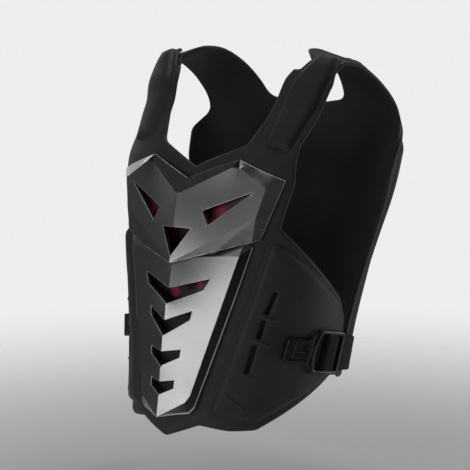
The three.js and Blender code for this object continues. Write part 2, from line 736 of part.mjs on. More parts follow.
// An outline drawn out by a distance, corner by corner.
function outset(points, distance) {
  const count = points.length;
  const clockwise = THREE.ShapeUtils.isClockWise(points);
  return points.map((point, i) => {
    const before = points[(i + count - 1) % count];
    const after = points[(i + 1) % count];
    const inward = point.clone().sub(before).normalize();
    const outward = after.clone().sub(point).normalize();
    const normalA = new THREE.Vector2(inward.y, -inward.x);
    const normalB = new THREE.Vector2(outward.y, -outward.x);
    const bisector = normalA.clone().add(normalB).normalize();
    const stretch = 1 / Math.max(bisector.dot(normalA), 1 / sharpestStretch);
    return point.clone().addScaledVector(bisector, (clockwise ? -1 : 1) * distance * stretch);
  });
}

// Vents cut through a plate, each with a collar that runs back from the plate's face.
function withVents(halfFaces, vents) {
  let plate = plateShell(halfFaces, shell);
  const deep = plateShell(halfFaces, ventCollarDepth);
  for (const vent of vents) {
    plate = plate.add(deep.intersect(frontPrism(outset(vent, ventCollarWall))));
  }
  for (const vent of vents) {
    plate = plate.subtract(frontPrism(vent));
  }
  return toGeometry(plate);
}

// A vent's corner in X and Z, as seen from the front.
function ventPoint(row, rise, half, top, run) {
  const point = lifted(row.across * half, top + row.down * run, rimLift + rise * ridgeRise, 1);
  return new THREE.Vector2(point.x, point.z);
}

function upperPlate() {
  const corner = {};
  for (const [name, row] of Object.entries(upperCorners)) {
    corner[name] = platePoint(row, upperPlateHalf, upperPlateTop, upperPlateRun);
  }
  const topRim = rimLine(corner.notch, corner.peak, rimPieces);
  const topCrease = creaseLine(corner.ridgeTop, corner.peakInner, rimPieces);
  const shoulderRim = rimLine(corner.peak, corner.shoulder, rimPieces);
  const shoulderCrease = creaseLine(corner.peakOuter, corner.shoulderInner, rimPieces);
  const sideRim = rimLine(corner.shoulder, corner.lowerSide, sideRimPieces);
  const sideCrease = creaseLine(corner.shoulderInner, corner.sideInner, sideRimPieces);
  const lowRim = [...creaseLine(corner.lowerSide, corner.lowerEdge, 1),
    ...creaseLine(corner.lowerEdge, corner.lowerMiddle, tipPieces).slice(1),
    ...creaseLine(corner.lowerMiddle, corner.tip, tipPieces).slice(1)];
  const lowCrease = creaseLine(corner.sideInner, corner.tip, lowRim.length - 1);
  const creases = [...topCrease, ...shoulderCrease, ...sideCrease.slice(1), ...lowCrease.slice(1)];
  const faceLoop = [...creases, corner.ridgeMiddle];
  const faces = [
    ...stripFaces(topRim, topCrease),
    [corner.peak, corner.peakInner, corner.peakOuter],
    ...stripFaces(shoulderRim, shoulderCrease),
    ...stripFaces(sideRim, sideCrease),
    ...stripFaces(lowRim, lowCrease),
    ...loopFaces(faceLoop),
  ];
  const at = (row, rise) => ventPoint(row, rise, upperPlateHalf, upperPlateTop, upperPlateRun);
  const side = sideVent.map((row) => at(row, ventRise.side));
  const [top, outer, bottom] = middleVent.map((row) => at(row, ventRise.middle));
  const middle = [top, outer, bottom, new THREE.Vector2(-outer.x, outer.y)];
  return withVents(faces, [side, flipped(side), middle]);
}

function lowerPlate() {
  const at = (row) => platePoint(row, lowerPlateHalf, lowerPlateTop, lowerPlateRun);
  const ridge = ridgeLine.map((row) => at({ across: 0, ...row }));
  const bottom = ridge[ridge.length - 1];
  const crease = creaseLine(at(lowerCreaseTop), at(lowerCreaseEnd), lowerRimPieces);
  const tuck = at(lowerTuck);
  const turn = at(lowerCreaseTurn);
  const rim = rimLine(at(lowerRimTop), at(lowerRimEnd), lowerRimPieces);
  const rimTurn = at(lowerRimTurn);
  const bottomRim = creaseLine(rimTurn, bottom, bottomPieces);
  const faces = [
    ...loopFaces([...ridge, turn, ...[...crease].reverse()]),
    [ridge[0], crease[0], tuck],
    [tuck, crease[0], rim[0]],
    ...stripFaces(rim, crease),
    [crease[crease.length - 1], rim[rim.length - 1], rimTurn],
    [crease[crease.length - 1], rimTurn, turn],
    ...loopFaces([turn, ...bottomRim]),
  ];
  const vents = chevrons.map((row) => {
    const point = (across, down, rise) => {
      return ventPoint({ across, down }, rise, lowerPlateHalf, lowerPlateTop, lowerPlateRun);
    };
    const top = point(0, row.topDown, ventRise.chevronMiddle);
    const tip = point(row.tipAcross, row.tipDown, ventRise.chevronTip);
    const low = point(row.lowAcross, row.lowDown, ventRise.chevronTip);
    const end = point(0, row.endDown, ventRise.chevronMiddle);
    return [top, tip, low, end, new THREE.Vector2(-low.x, low.y), new THREE.Vector2(-tip.x, tip.y)];
  });
  return withVents(faces, vents);
}

// The lining lies on the foam, behind the vents.
function ventLining() {
  const corners = patternCorners(liningOutline, upperPlateHalf, upperPlateRun, upperPlateTop);
  const outline = roundedOutline(mirroredCorners(corners));
  const low = foamEdge + seatGap;
  const slab = latticeSlab(outline, low, low + liningThickness, foamStep);
  const sheet = slab.intersect(prism(outline, low - cutOver, low + liningThickness + cutOver));
  return toGeometry(sheet, (point) => lifted(point.x, -point.y, point.z, 1));
}

// Buckle pieces are laid out round the buckle's middle: u towards the back along the strap, v up and
// z out from the body, and are then turned by the strap's tilt and wrapped. side is 1 on the left.
function wrapBuckle(solid, side) {
  return toGeometry(side > 0 ? solid : solid.mirror([1, 0, 0]), (point) => {
    const turned = new THREE.Vector2(point.x, point.y).rotateAround(new THREE.Vector2(), -side * strapTilt);
    return lifted(side * buckleAcross + turned.x, buckleDown - turned.y, point.z, 1);
  });
}

function buckleBlock(points, low, high) {
  const slab = latticeSlab(points, low, high, plasticStep);
  return slab.intersect(prism(points, low - cutOver, high + cutOver));
}

function cornersToPoints(rows) {
  return roundedOutline(rows.map(([x, y, round]) => ({ x, y, round })));
}

// A box's corners in u and v.
function boxCorners(uLow, uHigh, vHalf, round = 0) {
  return [[uLow, vHalf, round], [uHigh, vHalf, round], [uHigh, -vHalf, round], [uLow, -vHalf, round]];
}

// The frame: a ring with a bar across it for the webbing, and a tongue that goes into the socket.
function buckleFrame(side) {
  const halfU = frameWidth / 2;
  const windowV = webbingWidth / 2 + plasticGap;
  const bow = [-halfU - frameBow, 0, bowRound];
  const windowBow = [-halfU - frameBow + frameBar, 0, bowRound];
  const outer = cornersToPoints([...boxCorners(-halfU, halfU, windowV + frameBar, frameRound), bow]);
  const windowCorners = boxCorners(-halfU + frameBar, halfU - frameBar, windowV, windowRound);
  const inner = cornersToPoints([...windowCorners, windowBow]);
  const high = frameLift + frameThickness;
  const ring = buckleBlock(outer, frameLift, high);
  const window = prism(inner, frameLift - cutOver, high + cutOver);
  const bar = cornersToPoints(boxCorners(-barHalf, barHalf, windowV + frameBar / 2));
  const tongueEnd = -halfU - tongueReach;
  const tongueRoot = -halfU - joinOver;
  const halfTongue = tongueWidth / 2;
  const tongue = cornersToPoints([[tongueEnd, halfTongue, tongueRound], [tongueRoot, halfTongue, 0],
    [tongueRoot, -halfTongue, 0], [tongueEnd, -halfTongue, tongueRound]]);
  const tongueLow = socketMiddle - tongueThickness / 2;
  const barBlock = buckleBlock(bar, frameLift, frameLift + barThickness);
  const tongueBlock = buckleBlock(tongue, tongueLow, tongueLow + tongueThickness);
  return wrapBuckle(ring.subtract(window).add(barBlock).add(tongueBlock), side);
}

// The socket: a short sleeve that is sewn to the flank, with its mouth towards the frame.
function buckleSocket(side) {
  const mouth = -frameWidth / 2 - frameBow - plasticGap;
  const halfV = socketHeight / 2;
  const mouthV = halfV + mouthFlare;
  const body = cornersToPoints([[mouth - socketLength, halfV, socketRound],
    [mouth - flareLength, halfV, flareRound], [mouth, mouthV, mouthRound],
    [mouth, -mouthV, mouthRound], [mouth - flareLength, -halfV, flareRound],
    [mouth - socketLength, -halfV, socketRound]]);
  const cavityHalf = tongueThickness / 2 + plasticGap;
  const cavityEnd = -frameWidth / 2 - tongueReach - tongueEndGap;
  const cavity = cornersToPoints(boxCorners(cavityEnd, mouth + cutOver, tongueWidth / 2 + plasticGap));
  const block = buckleBlock(body, fieldLift + seatGap, socketMiddle + cavityHalf + socketWall);
  const hollow = prism(cavity, socketMiddle - cavityHalf, socketMiddle + cavityHalf);
  return wrapBuckle(block.subtract(hollow), side);
}

// The webbing comes from the back panel, runs under the frame's end bar, over the middle bar and
// round it. Its side view is a line in u and z.
function sideWebbing(side) {
  const flat = strapLift + webbingThickness / 2;
  const overBar = frameLift + barThickness + plasticGap + webbingThickness / 2;
  const girthHalf = walkedSection(buckleDown, 1).walked[sectionSteps].length;
  const backEdge = girthHalf - backReach * strapEdgeShare - buckleAcross;
  const backEnd = backEdge + strapOnBack;
  const firstBend = Math.ceil(backEnd / plasticStep) - 1;
  const lastBend = Math.ceil(frameWidth / 2 / plasticStep);
  const points = [new THREE.Vector2(backEnd, flat)];
  for (let bend = firstBend; bend >= lastBend; bend -= 1) {
    points.push(new THREE.Vector2(bend * plasticStep, flat));
  }
  points.push(new THREE.Vector2(frameWidth / 2 - frameBar - plasticGap, flat));
  for (const row of webbingLoop) {
    const u = row.end * (barHalf + row.beyond * webbingThickness);
    points.push(new THREE.Vector2(u, overBar - row.below * webbingThickness));
  }
  return wrapBuckle(ribbon(points, webbingThickness / 2, webbingWidth), side);
}

// The two faces of an open line that is given a thickness.
function thickLine(points, half) {
  const last = points.length - 1;
  const offsets = points.map((point, i) => {
    const before = points[Math.max(i - 1, 0)];
    const after = points[Math.min(i + 1, last)];
    const toPoint = point.clone().sub(before).normalize();
    const fromPoint = after.clone().sub(point).normalize();
    const along = toPoint.clone().add(fromPoint).normalize();
    const across = new THREE.Vector2(-along.y, along.x);
    const edge = i === 0 ? fromPoint : toPoint;
    const stretch = 1 / Math.max(across.dot(new THREE.Vector2(-edge.y, edge.x)), 1 / sharpestFold);
    return across.multiplyScalar(half * stretch);
  });
  const over = points.map((point, i) => point.clone().add(offsets[i]));
  const under = points.map((point, i) => point.clone().sub(offsets[i]));
  return [over, under];
}

// A band whose side view is a line of points in u and z, with bends at each point and along its width.
function ribbon(points, half, width) {
  const [over, under] = thickLine(points, half);
  const around = [...over, ...[...under].reverse()];
  const count = around.length;
  const positions = [];
  for (let step = 0; step <= ribbonSteps; step += 1) {
    const v = width * (step / ribbonSteps - 0.5);
    for (const point of around) positions.push(point.x, v, point.y);
  }
  const index = [];
  for (let step = 0; step < ribbonSteps; step += 1) {
    for (let i = 0; i < count; i += 1) {
      const a = step * count + i;
      const b = step * count + ((i + 1) % count);
      index.push(a, b, b + count, a, b + count, a + count);
    }
  }
  const end = ribbonSteps * count;
  for (let i = 0; i < points.length - 1; i += 1) {
    const opposite = count - 1 - i;
    index.push(i, opposite, opposite - 1, i, opposite - 1, i + 1);
    index.push(end + i, end + opposite - 1, end + opposite, end + i, end + i + 1, end + opposite - 1);
  }
  const geometry = new THREE.BufferGeometry();
  geometry.setAttribute('position', new THREE.Float32BufferAttribute(positions, 3));
  geometry.setIndex(index);
  return toSolid(geometry, true);
}

function addMesh(group, name, geometry, finish) {
  const material = new THREE.MeshStandardMaterial({ ...finishes[finish], name: finish });
  const mesh = new THREE.Mesh(geometry, material);
  mesh.name = name;
  group.add(mesh);
}

const vest = new THREE.Group();
addMesh(vest, 'front_foam_panel', chestPanel(), 'foam');
addMesh(vest, 'back_foam_panel', backPanel(), 'foam');
addMesh(vest, 'upper_chest_plate', upperPlate(), 'plate');
addMesh(vest, 'lower_chest_plate', lowerPlate(), 'plate');
addMesh(vest, 'red_vent_lining', ventLining(), 'lining');
for (const [name, side] of [['left', 1], ['right', -1]]) {
  addMesh(vest, `${name}_buckle_frame`, buckleFrame(side), 'buckle');
  addMesh(vest, `${name}_buckle_socket`, buckleSocket(side), 'buckle');
  addMesh(vest, `${name}_side_webbing`, sideWebbing(side), 'webbing');
}

export default vest;
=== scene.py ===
"""Looks of the motorcycle armour vest: moulded foam panels, hard chest plates, lining, buckles and webbing.

Lengths are millimetres until a mesh is made. The foam, lining, buckles and webbing are laid out flat and
wrapped on the wearer's form. A pattern place has across, from the middle of the chest or back, down, from
the top of the shoulder, and lift, out from the body. The hard plates are faceted shells over the foam.
"""
import math
import bmesh
import bpy
import numpy as np
from mathutils import Matrix, Vector
from mathutils.geometry import delaunay_2d_cdt
from mathutils.kdtree import KDTree


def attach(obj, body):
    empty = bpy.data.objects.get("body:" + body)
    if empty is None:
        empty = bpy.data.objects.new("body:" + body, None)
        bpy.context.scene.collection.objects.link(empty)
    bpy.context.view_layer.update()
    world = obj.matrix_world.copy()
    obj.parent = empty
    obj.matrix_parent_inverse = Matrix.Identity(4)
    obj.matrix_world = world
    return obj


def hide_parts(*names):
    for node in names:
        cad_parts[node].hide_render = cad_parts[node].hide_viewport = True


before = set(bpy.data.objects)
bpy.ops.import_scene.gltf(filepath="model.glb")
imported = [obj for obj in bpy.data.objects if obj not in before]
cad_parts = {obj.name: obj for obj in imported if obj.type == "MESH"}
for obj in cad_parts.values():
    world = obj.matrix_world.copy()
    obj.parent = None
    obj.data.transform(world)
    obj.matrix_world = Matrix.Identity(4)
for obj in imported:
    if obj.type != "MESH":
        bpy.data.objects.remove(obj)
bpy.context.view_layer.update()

MM = 0.001

# The wearer's form.
FORM_RUN = 600.0
FORM_DROP = 538.0
CHEST_DEPTH = 201.0
BACK_DEPTH = 122.0
FORM_HALF = 190.0
NECK_FLAT_HALF = 85.0

# Foam panels.
FOAM_EDGE = 6.0
FIELD_RAISE = 6.0
FIELD_ROUND = 8.5  # width of a raised field's rounded shoulder
CHEST_RUN = 571.5
FLANK_REACH = 265.0
ARM_REACH = 156.0
BACK_RUN = 498.0
BACK_REACH = 208.0
ARM_OVERLAP = 48.0
OVERLAP_RAMP = 45.0
OVERLAP_START = 20.0
SEAT_GAP = 0.6
ARM_GAP = 1.2
SLOT_WIDTH = 6.0
SLOT_CORNER = 1.2
SLOT_SHARP = 60  # the angle from which a slot's edges stay sharp
SLOT_FLOOR = 2.0  # foam left under a slot
SLOT_SINK = 1.1  # how far the foam dips beside a slot
SLOT_SINK_REACH = 1.6
RIM_WALL = 2.6  # height at which the rim's round starts
RIM_ROUND = 4.5
RIM_UNDERCUT = 1.3
FIELD_FOOT = 0.5  # depth of the pressed line round a raised field
FIELD_FOOT_PLACE = 1.2
FIELD_FOOT_WIDTH = 1.4
CHEST_DOME = 1.2  # how much a field swells towards its middle
BACK_DOME = 1.5
DOME_REACH = 26.0
CHEST_STEP = 4.4  # spacing of the points of each piece
BACK_STEP = 3.2
UNEVEN_HEIGHT = 0.35
UNEVEN_SIZE = 90
GATHER_PLACE = (0.86, 0.035)  # small folds on the back panel's arms, as shares across and down
GATHER_REACH = (0.13, 0.045)
GATHER_SLANT = 0.35
GATHER_WAVES = [(0.55, 7.5, 0), (0.25, 4.1, 1)]  # height, length and start
LINE_HALF = 0.6  # half the width of a fine raised line's crest
LINE_SOFT = 1.0
EDGE_BANDS = [0.7, 1.8, 3.2, 5.0]  # rows of points beside an outline, a field, a slot and a raised line
FIELD_BANDS = [-2.4, -1.0, 0.2, 1.2, 2.4, 4.0, 6.0, 8.5]
SLOT_BANDS = [-3.0, -1.5, -0.45, 0.3, 1.5]
LINE_BANDS = [-2.4, -1.2, -0.5, 0.1]

# Hard plates.
SHELL = 3.2
RIDGE_RISE = 27.6
UPPER_TOP = 197.5
UPPER_RUN = 142.0
UPPER_HALF = 137.7
LOWER_TOP = 308.0
LOWER_RUN = 238.0
LOWER_HALF = 103.0
COLLAR_DEPTH = 6.5
COLLAR_WALL = 2.0
PEAK_FADE = 90.0  # how far out the painted shade's tone is full at the upper plate's peaks
LIP_WIDTH = 2.4  # painted highlight strip along the lower plate's rim
TIP_TAPER = 6.0  # rounds taper within this of a narrow corner
PLATE_STEP = 2.4
PLATE_ROUND = 0.75
CREASE_SHARE = 0.25  # a crease's round as a share of a sharp edge's
SHARP_ANGLE = 40
CREASE_ANGLE = 6.5
NARROW_ANGLE = 50
VENT_STEP = 1.6

# Lining, buckles and webbing.
LINING_THICK = 1.0
LINING_STEP = 2.4
WRINKLE_SIZE = 14
WRINKLE_HALF = 0.2
WRINKLE_MIDDLE = 0.3
WEBBING_WIDTH = 48.0
WEBBING_THICK = 2.0
BUCKLE_ACROSS = 216.0
BUCKLE_DOWN = 458.5
STRAP_TILT = 0.2
FRAME_WIDTH = 54.0
FRAME_BAR = 5.5
FRAME_THICK = 4.0
FRAME_BOW = 7.0
SOCKET_HEIGHT = 32.0
SOCKET_LENGTH = 37.0
MOUTH_FLARE = 4.0
TONGUE_WIDTH = 15.0
TONGUE_REACH = 20.0
BAR_HALF = 7.0
BAR_THICK = 2.6
PLASTIC_GAP = 0.9
STRAP_ON_BACK = 40.0
STRAP_EDGE_SHARE = 0.775
STRAP_GAP = 0.7
STITCH_LENGTH = 2.6
STITCH_THICK = 0.8
STITCH_INSET = 4.0
STITCH_SPACING = 3.4

RIM_LIFT = FOAM_EDGE + SEAT_GAP + SHELL
FIELD_LIFT = FOAM_EDGE + FIELD_RAISE
STRAP_LIFT = FIELD_LIFT + STRAP_GAP
FRAME_LIFT = STRAP_LIFT + WEBBING_THICK + PLASTIC_GAP
SOCKET_MIDDLE = FRAME_LIFT + FRAME_THICK / 2

# Sections of the form: run, drop, front, side, back, half, square_front, square_back, fall.
FORM_KEYS = ("run", "drop", "front", "side", "back", "half", "square_front", "square_back", "fall")
FORM_ROWS = [
    (0.000, 0.000, 0.000, 0.000, 0.00, 1.000, 2.60, 2.60, 0.26),
    (0.042, 0.011, 0.119, 0.000, 0.32, 1.000, 2.60, 2.80, 0.26),
    (0.100, 0.058, 0.234, -0.010, 0.68, 1.000, 2.60, 3.60, 0.22),
    (0.183, 0.134, 0.388, -0.020, 0.96, 0.989, 2.70, 4.60, 0.12),
    (0.275, 0.217, 0.542, -0.030, 1.03, 0.974, 2.80, 4.60, 0.03),
    (0.342, 0.279, 0.647, -0.025, 1.02, 0.950, 2.90, 4.20, 0.00),
    (0.425, 0.370, 0.701, 0.000, 1.01, 0.910, 2.90, 3.60, 0.00),
    (0.508, 0.461, 0.741, 0.040, 0.96, 0.860, 2.75, 3.10, 0.00),
    (0.600, 0.563, 0.786, 0.090, 0.88, 0.805, 2.55, 2.80, 0.00),
    (0.700, 0.673, 0.846, 0.139, 0.77, 0.760, 2.30, 2.60, 0.00),
    (0.800, 0.783, 0.905, 0.189, 0.67, 0.730, 2.10, 2.50, 0.00),
    (0.900, 0.890, 0.955, 0.219, 0.61, 0.715, 2.00, 2.40, 0.00),
    (1.000, 1.000, 1.000, 0.239, 0.59, 0.715, 1.90, 2.40, 0.00),
]
SECTION_STEPS = 512
GRID_STEP = 2.0
GRID_REACH = 460.0
NORMAL_REACH = 3.0

# Spacing of points in flat sheets.
HEX_ROW = 0.866  # rows of a grid of triangles, as a share of its step
CLEAR_SHARE = 0.92  # a row's point that lies nearer than this share of its distance is dropped
CLEAR_STEP = 0.55
HOLE_STEP = 0.7
LEAST_GAP = 0.3
LEAST_CELL = 0.45
NOISE_SIZES = (0.6, 1.6)

# Half outlines. across and down are shares; arm is 1 where across is a share of ARM_REACH.
# A down of -1 is the end of the back panel's arm, which lies over the shoulder.
# Columns: across, down, arm, round.
CHEST_OUTLINE = [
    (0.000, 0.364, 0, 0), (0.455, 0.303, 1, 22), (0.545, 0.222, 1, 60), (0.583, 0.122, 1, 60),
    (0.619, 0.093, 1, 5), (0.676, 0.088, 1, 5), (0.766, 0.036, 1, 8), (0.776, 0.019, 1, 5),
    (0.970, 0.023, 1, 8), (0.997, 0.108, 1, 60), (0.968, 0.226, 1, 60), (0.920, 0.300, 1, 30),
    (0.959, 0.392, 1, 40), (0.860, 0.496, 1, 4), (0.709, 0.588, 0, 90), (0.925, 0.677, 0, 12),
    (0.998, 0.734, 0, 40), (1.002, 0.852, 0, 15), (0.461, 0.979, 0, 18), (0.325, 0.979, 0, 60),
    (0.179, 0.967, 0, 10), (0.000, 1.000, 0, 9),
]
BACK_OUTLINE = [
    (0.000, 0.245, 0, 60), (0.430, 0.222, 1, 20), (0.520, 0.080, 1, 60), (0.570, -0.006, 1, 12),
    (0.715, -0.056, 1, 8), (0.692, -1, 1, 5), (0.958, -1, 1, 5), (1.000, -0.010, 1, 60),
    (1.060, 0.150, 1, 80), (1.090, 0.270, 1, 40), (0.960, 0.340, 0, 30), (0.970, 0.440, 0, 40),
    (0.800, 0.700, 0, 60), (0.785, 0.900, 0, 60), (0.790, 0.998, 0, 14), (0.560, 1.040, 0, 30),
    (0.000, 1.010, 0, 120),
]
# Columns: across, down, round.
ARM_PAD = [
    (0.628, 0.297, 5), (0.850, 0.315, 6), (0.885, 0.255, 40), (0.935, 0.175, 60), (0.958, 0.090, 40),
    (0.950, 0.032, 5), (0.800, 0.030, 5), (0.785, 0.044, 10), (0.700, 0.098, 20), (0.655, 0.140, 60),
]
FLANK_FIELD = [
    (0.469, 0.518, 12), (0.898, 0.679, 16), (0.934, 0.764, 30), (0.858, 0.869, 16),
    (0.455, 0.959, 12), (0.222, 0.940, 9),
]
BACK_FIELD = [
    (0.000, 0.300, 60), (0.340, 0.275, 22), (0.480, 0.110, 60), (0.520, 0.060, 12), (0.670, 0.060, 12),
    (0.700, 0.150, 60), (0.715, 0.290, 30), (0.865, 0.375, 20), (0.870, 0.450, 40), (0.705, 0.700, 60),
    (0.705, 0.900, 40), (0.712, 0.985, 12), (0.540, 1.010, 24), (0.000, 0.965, 120),
]
LINING_OUTLINE = [
    (0.000, 0.330, 10), (0.740, 0.200, 8), (0.700, 0.560, 8), (0.480, 1.330, 8), (0.000, 1.420, 10),
]
# Columns: across and down of a slot's upper end, then of its lower end.
FLANK_SLOTS = [
    (0.496, 0.645, 0.460, 0.695), (0.450, 0.711, 0.432, 0.753), (0.417, 0.770, 0.388, 0.835),
]
# Fine raised lines: from and to, as shares from a slot's lower end, and the height.
SLOT_LINE = ((-0.022, 0.003), (0.050, 0.017), 1.3)
# The same low on each flank, from the middle and the top.
FLANK_LINE = ((0.305, 0.893), (0.392, 0.925), 1.7)

# Plate corners: across, down, rise.
UPPER_CORNERS = {
    "notch": (0.000, 0.194, 0.28), "peak": (0.524, 0.000, 0.00), "shoulder": (0.998, 0.166, 0.00),
    "lower_side": (0.809, 0.709, 0.08), "lower_edge": (0.736, 0.740, 0.264),
    "lower_middle": (0.433, 0.847, 0.634), "tip": (0.000, 1.000, 1.00), "ridge_top": (0.000, 0.356, 0.93),
    "ridge_middle": (0.000, 0.657, 0.99), "peak_inner": (0.487, 0.079, 0.192),
    "peak_outer": (0.564, 0.080, 0.232), "shoulder_inner": (0.836, 0.242, 0.271),
    "side_inner": (0.767, 0.509, 0.345),
}
RIDGE_LINE = [
    (0.100, 0.70), (0.160, 0.79), (0.274, 0.83), (0.361, 0.90), (0.455, 0.86), (0.540, 0.85),
    (0.630, 0.79), (0.709, 0.74), (0.800, 0.67), (0.874, 0.64), (1.000, 0.62),
]
LOWER_CORNERS = {
    "tuck": (0.889, -0.020, 0.110),
    "crease_top": (0.845, 0.054, 0.334), "crease_end": (0.365, 0.859, 0.339),
    "crease_turn": (0.313, 0.899, 0.382), "rim_top": (0.989, 0.003, 0.000),
    "rim_end": (0.414, 0.929, 0.110), "rim_turn": (0.352, 0.961, 0.120),
}
SIDE_VENT = [(0.719, 0.282), (0.261, 0.482), (0.325, 0.612)]
MIDDLE_VENT = [(0.000, 0.658), (0.168, 0.665), (0.000, 0.930)]
# Columns: top_down, tip_across, tip_down, low_across, low_down, end_down.
CHEVRONS = [
    (0.274, 0.500, 0.199, 0.424, 0.265, 0.361), (0.455, 0.316, 0.387, 0.300, 0.435, 0.540),
    (0.630, 0.217, 0.606, 0.209, 0.648, 0.709), (0.800, 0.165, 0.780, 0.162, 0.825, 0.874),
]
# Where the lining is painted lit and shows red; elsewhere it is painted near black as shade. Columns:
# across, down, reach in mm, strength.
LIT_PLACES = [
    (0.400, 0.485, 9, 1.00), (0.300, 0.560, 5, 0.60), (-0.470, 0.530, 8, 0.75), (-0.050, 1.256, 7, 1.00),
    (0.240, 1.172, 6, 0.95), (-0.165, 0.722, 9, 0.18),
]
VENT_RISE = {"side": 0.46, "middle": 0.9, "tip": 0.48, "centre": 0.8}


# The wearer's form.
def form_values(runs):
    table = {key: np.array([row[i] for row in FORM_ROWS]) for i, key in enumerate(FORM_KEYS)}
    marks = table["run"] * FORM_RUN
    last = len(marks) - 1
    place = np.clip(runs, 0, marks[last])
    index = np.clip(np.searchsorted(marks, place, side="left") - 1, 0, last - 1)
    span = marks[index + 1] - marks[index]
    t = (place - marks[index]) / span
    values = {}
    for key in FORM_KEYS[1:]:
        column = table[key]
        after = np.minimum(np.arange(last + 1) + 1, last)
        before = np.maximum(np.arange(last + 1) - 1, 0)
        slope = (column[after] - column[before]) / (marks[after] - marks[before])
        if key == "drop":
            slope[0] = 0
        from_a = column[index] * (2 * t**3 - 3 * t**2 + 1) + slope[index] * span * (t**3 - 2 * t**2 + t)
        from_b = column[index + 1] * (3 * t**2 - 2 * t**3) + slope[index + 1] * span * (t**3 - t**2)
        values[key] = from_a + from_b
    return values


def form_grid(face):
    runs = np.arange(0, FORM_RUN + GRID_STEP, GRID_STEP)
    acrosses = np.arange(0, GRID_REACH + GRID_STEP, GRID_STEP)
    values = form_values(runs)
    turn = np.linspace(0, math.pi, SECTION_STEPS + 1)
    grid = np.zeros((len(runs), len(acrosses), 3))
    for i in range(len(runs)):
        front = (-values["front"][i] * CHEST_DEPTH, values["square_front"][i])
        back = (values["back"][i] * BACK_DEPTH, values["square_back"][i])
        near, far = (front, back) if face > 0 else (back, front)
        side = -values["side"][i] * CHEST_DEPTH
        depth = np.where(turn <= math.pi / 2, near[0], far[0])
        square = np.where(turn <= math.pi / 2, near[1], far[1])
        x = values["half"][i] * FORM_HALF * np.abs(np.sin(turn)) ** (2 / square)
        y = side + (depth - side) * np.abs(np.cos(turn)) ** (2 / square)
        length = np.concatenate([[0], np.cumsum(np.hypot(np.diff(x), np.diff(y)))])
        grid[i, :, 0] = np.interp(acrosses, length, x)
        grid[i, :, 1] = np.interp(acrosses, length, y)
        fall = values["fall"][i] * np.maximum(0, grid[i, :, 0] - NECK_FLAT_HALF)
        grid[i, :, 2] = -values["drop"][i] * FORM_DROP - fall
    return grid


GRIDS = {1: form_grid(1), -1: form_grid(-1)}


def form_point(across, down, face):
    across = np.asarray(across, float)
    down = np.asarray(down, float)
    result = np.zeros(across.shape + (3,))
    for over in (False, True):
        chosen = (down < 0) == over
        if not chosen.any():
            continue
        grid = GRIDS[-face if over else face]
        r = np.clip(np.abs(down[chosen]) / GRID_STEP, 0, grid.shape[0] - 1.001)
        a = np.clip(np.abs(across[chosen]) / GRID_STEP, 0, grid.shape[1] - 1.001)
        i, j = r.astype(int), a.astype(int)
        u, v = (r - i)[:, None], (a - j)[:, None]
        low_row = grid[i, j] * (1 - v) + grid[i, j + 1] * v
        high_row = grid[i + 1, j] * (1 - v) + grid[i + 1, j + 1] * v
        point = low_row * (1 - u) + high_row * u
        point[:, 0] *= np.sign(across[chosen]) * face
        result[chosen] = point
    return result


def form_normal(across, down, face):
    right = form_point(across + NORMAL_REACH, down, face)
    left = form_point(across - NORMAL_REACH, down, face)
    above = form_point(across, down - NORMAL_REACH, face)
    below = form_point(across, down + NORMAL_REACH, face)
    normal = np.cross(right - left, above - below)
    return normal / np.linalg.norm(normal, axis=-1, keepdims=True)


def lifted(across, down, lift, face):
    across, down, lift = (np.atleast_1d(np.asarray(v, float)) for v in (across, down, lift))
    return form_point(across, down, face) + form_normal(across, down, face) * lift[:, None]


def smooth_step(share):
    t = np.clip(share, 0, 1)
    return t * t * (3 - 2 * t)


def arm_rise(down):
    return (1 - smooth_step((down - ARM_OVERLAP - OVERLAP_START) / OVERLAP_RAMP)) * (FOAM_EDGE + ARM_GAP)


# Outlines.
def rounded(corners, pieces=8):
    """Corners of x, y and round as a closed line of points."""
    points = []
    count = len(corners)
    for i in range(count):
        corner = np.array(corners[i][:2], float)
        if corners[i][2] <= 0:
            points.append(corner)
            continue
        to_before = np.array(corners[i - 1][:2]) - corner
        to_after = np.array(corners[(i + 1) % count][:2]) - corner
        room = 0.45 * min(np.linalg.norm(to_before), np.linalg.norm(to_after))
        to_before /= np.linalg.norm(to_before)
        to_after /= np.linalg.norm(to_after)
        turn = math.pi - math.acos(float(np.clip(to_before @ to_after, -1, 1)))
        cut = min(corners[i][2] * math.tan(turn / 2), room)
        start, end = corner + to_before * cut, corner + to_after * cut
        for k in range(pieces + 1):
            t = k / pieces
            points.append(start * (1 - t) ** 2 + corner * 2 * t * (1 - t) + end * t**2)
    return np.array(points)


def resampled(loop, step, closed=True):
    """A line with its corners kept and its sides cut into equal pieces no longer than step."""
    result = []
    count = len(loop)
    for i in range(count if closed else count - 1):
        a, b = loop[i], loop[(i + 1) % count]
        pieces = max(1, math.ceil(np.linalg.norm(b - a) / step - 1e-6))
        if np.linalg.norm(b - a) < 1e-6:
            continue
        result.extend(a + (b - a) * k / pieces for k in range(pieces))
    if not closed:
        result.append(loop[-1])
    return np.array(result)


def turned_left(loop):
    """The loop anticlockwise."""
    x, y = loop[:, 0], loop[:, 1]
    area = np.sum(x * np.roll(y, -1) - np.roll(x, -1) * y)
    return loop if area > 0 else loop[::-1].copy()


def mirrored_half(corners):
    inner = [(-x, y, r) for x, y, r in reversed(corners[1:-1])]
    return corners + inner


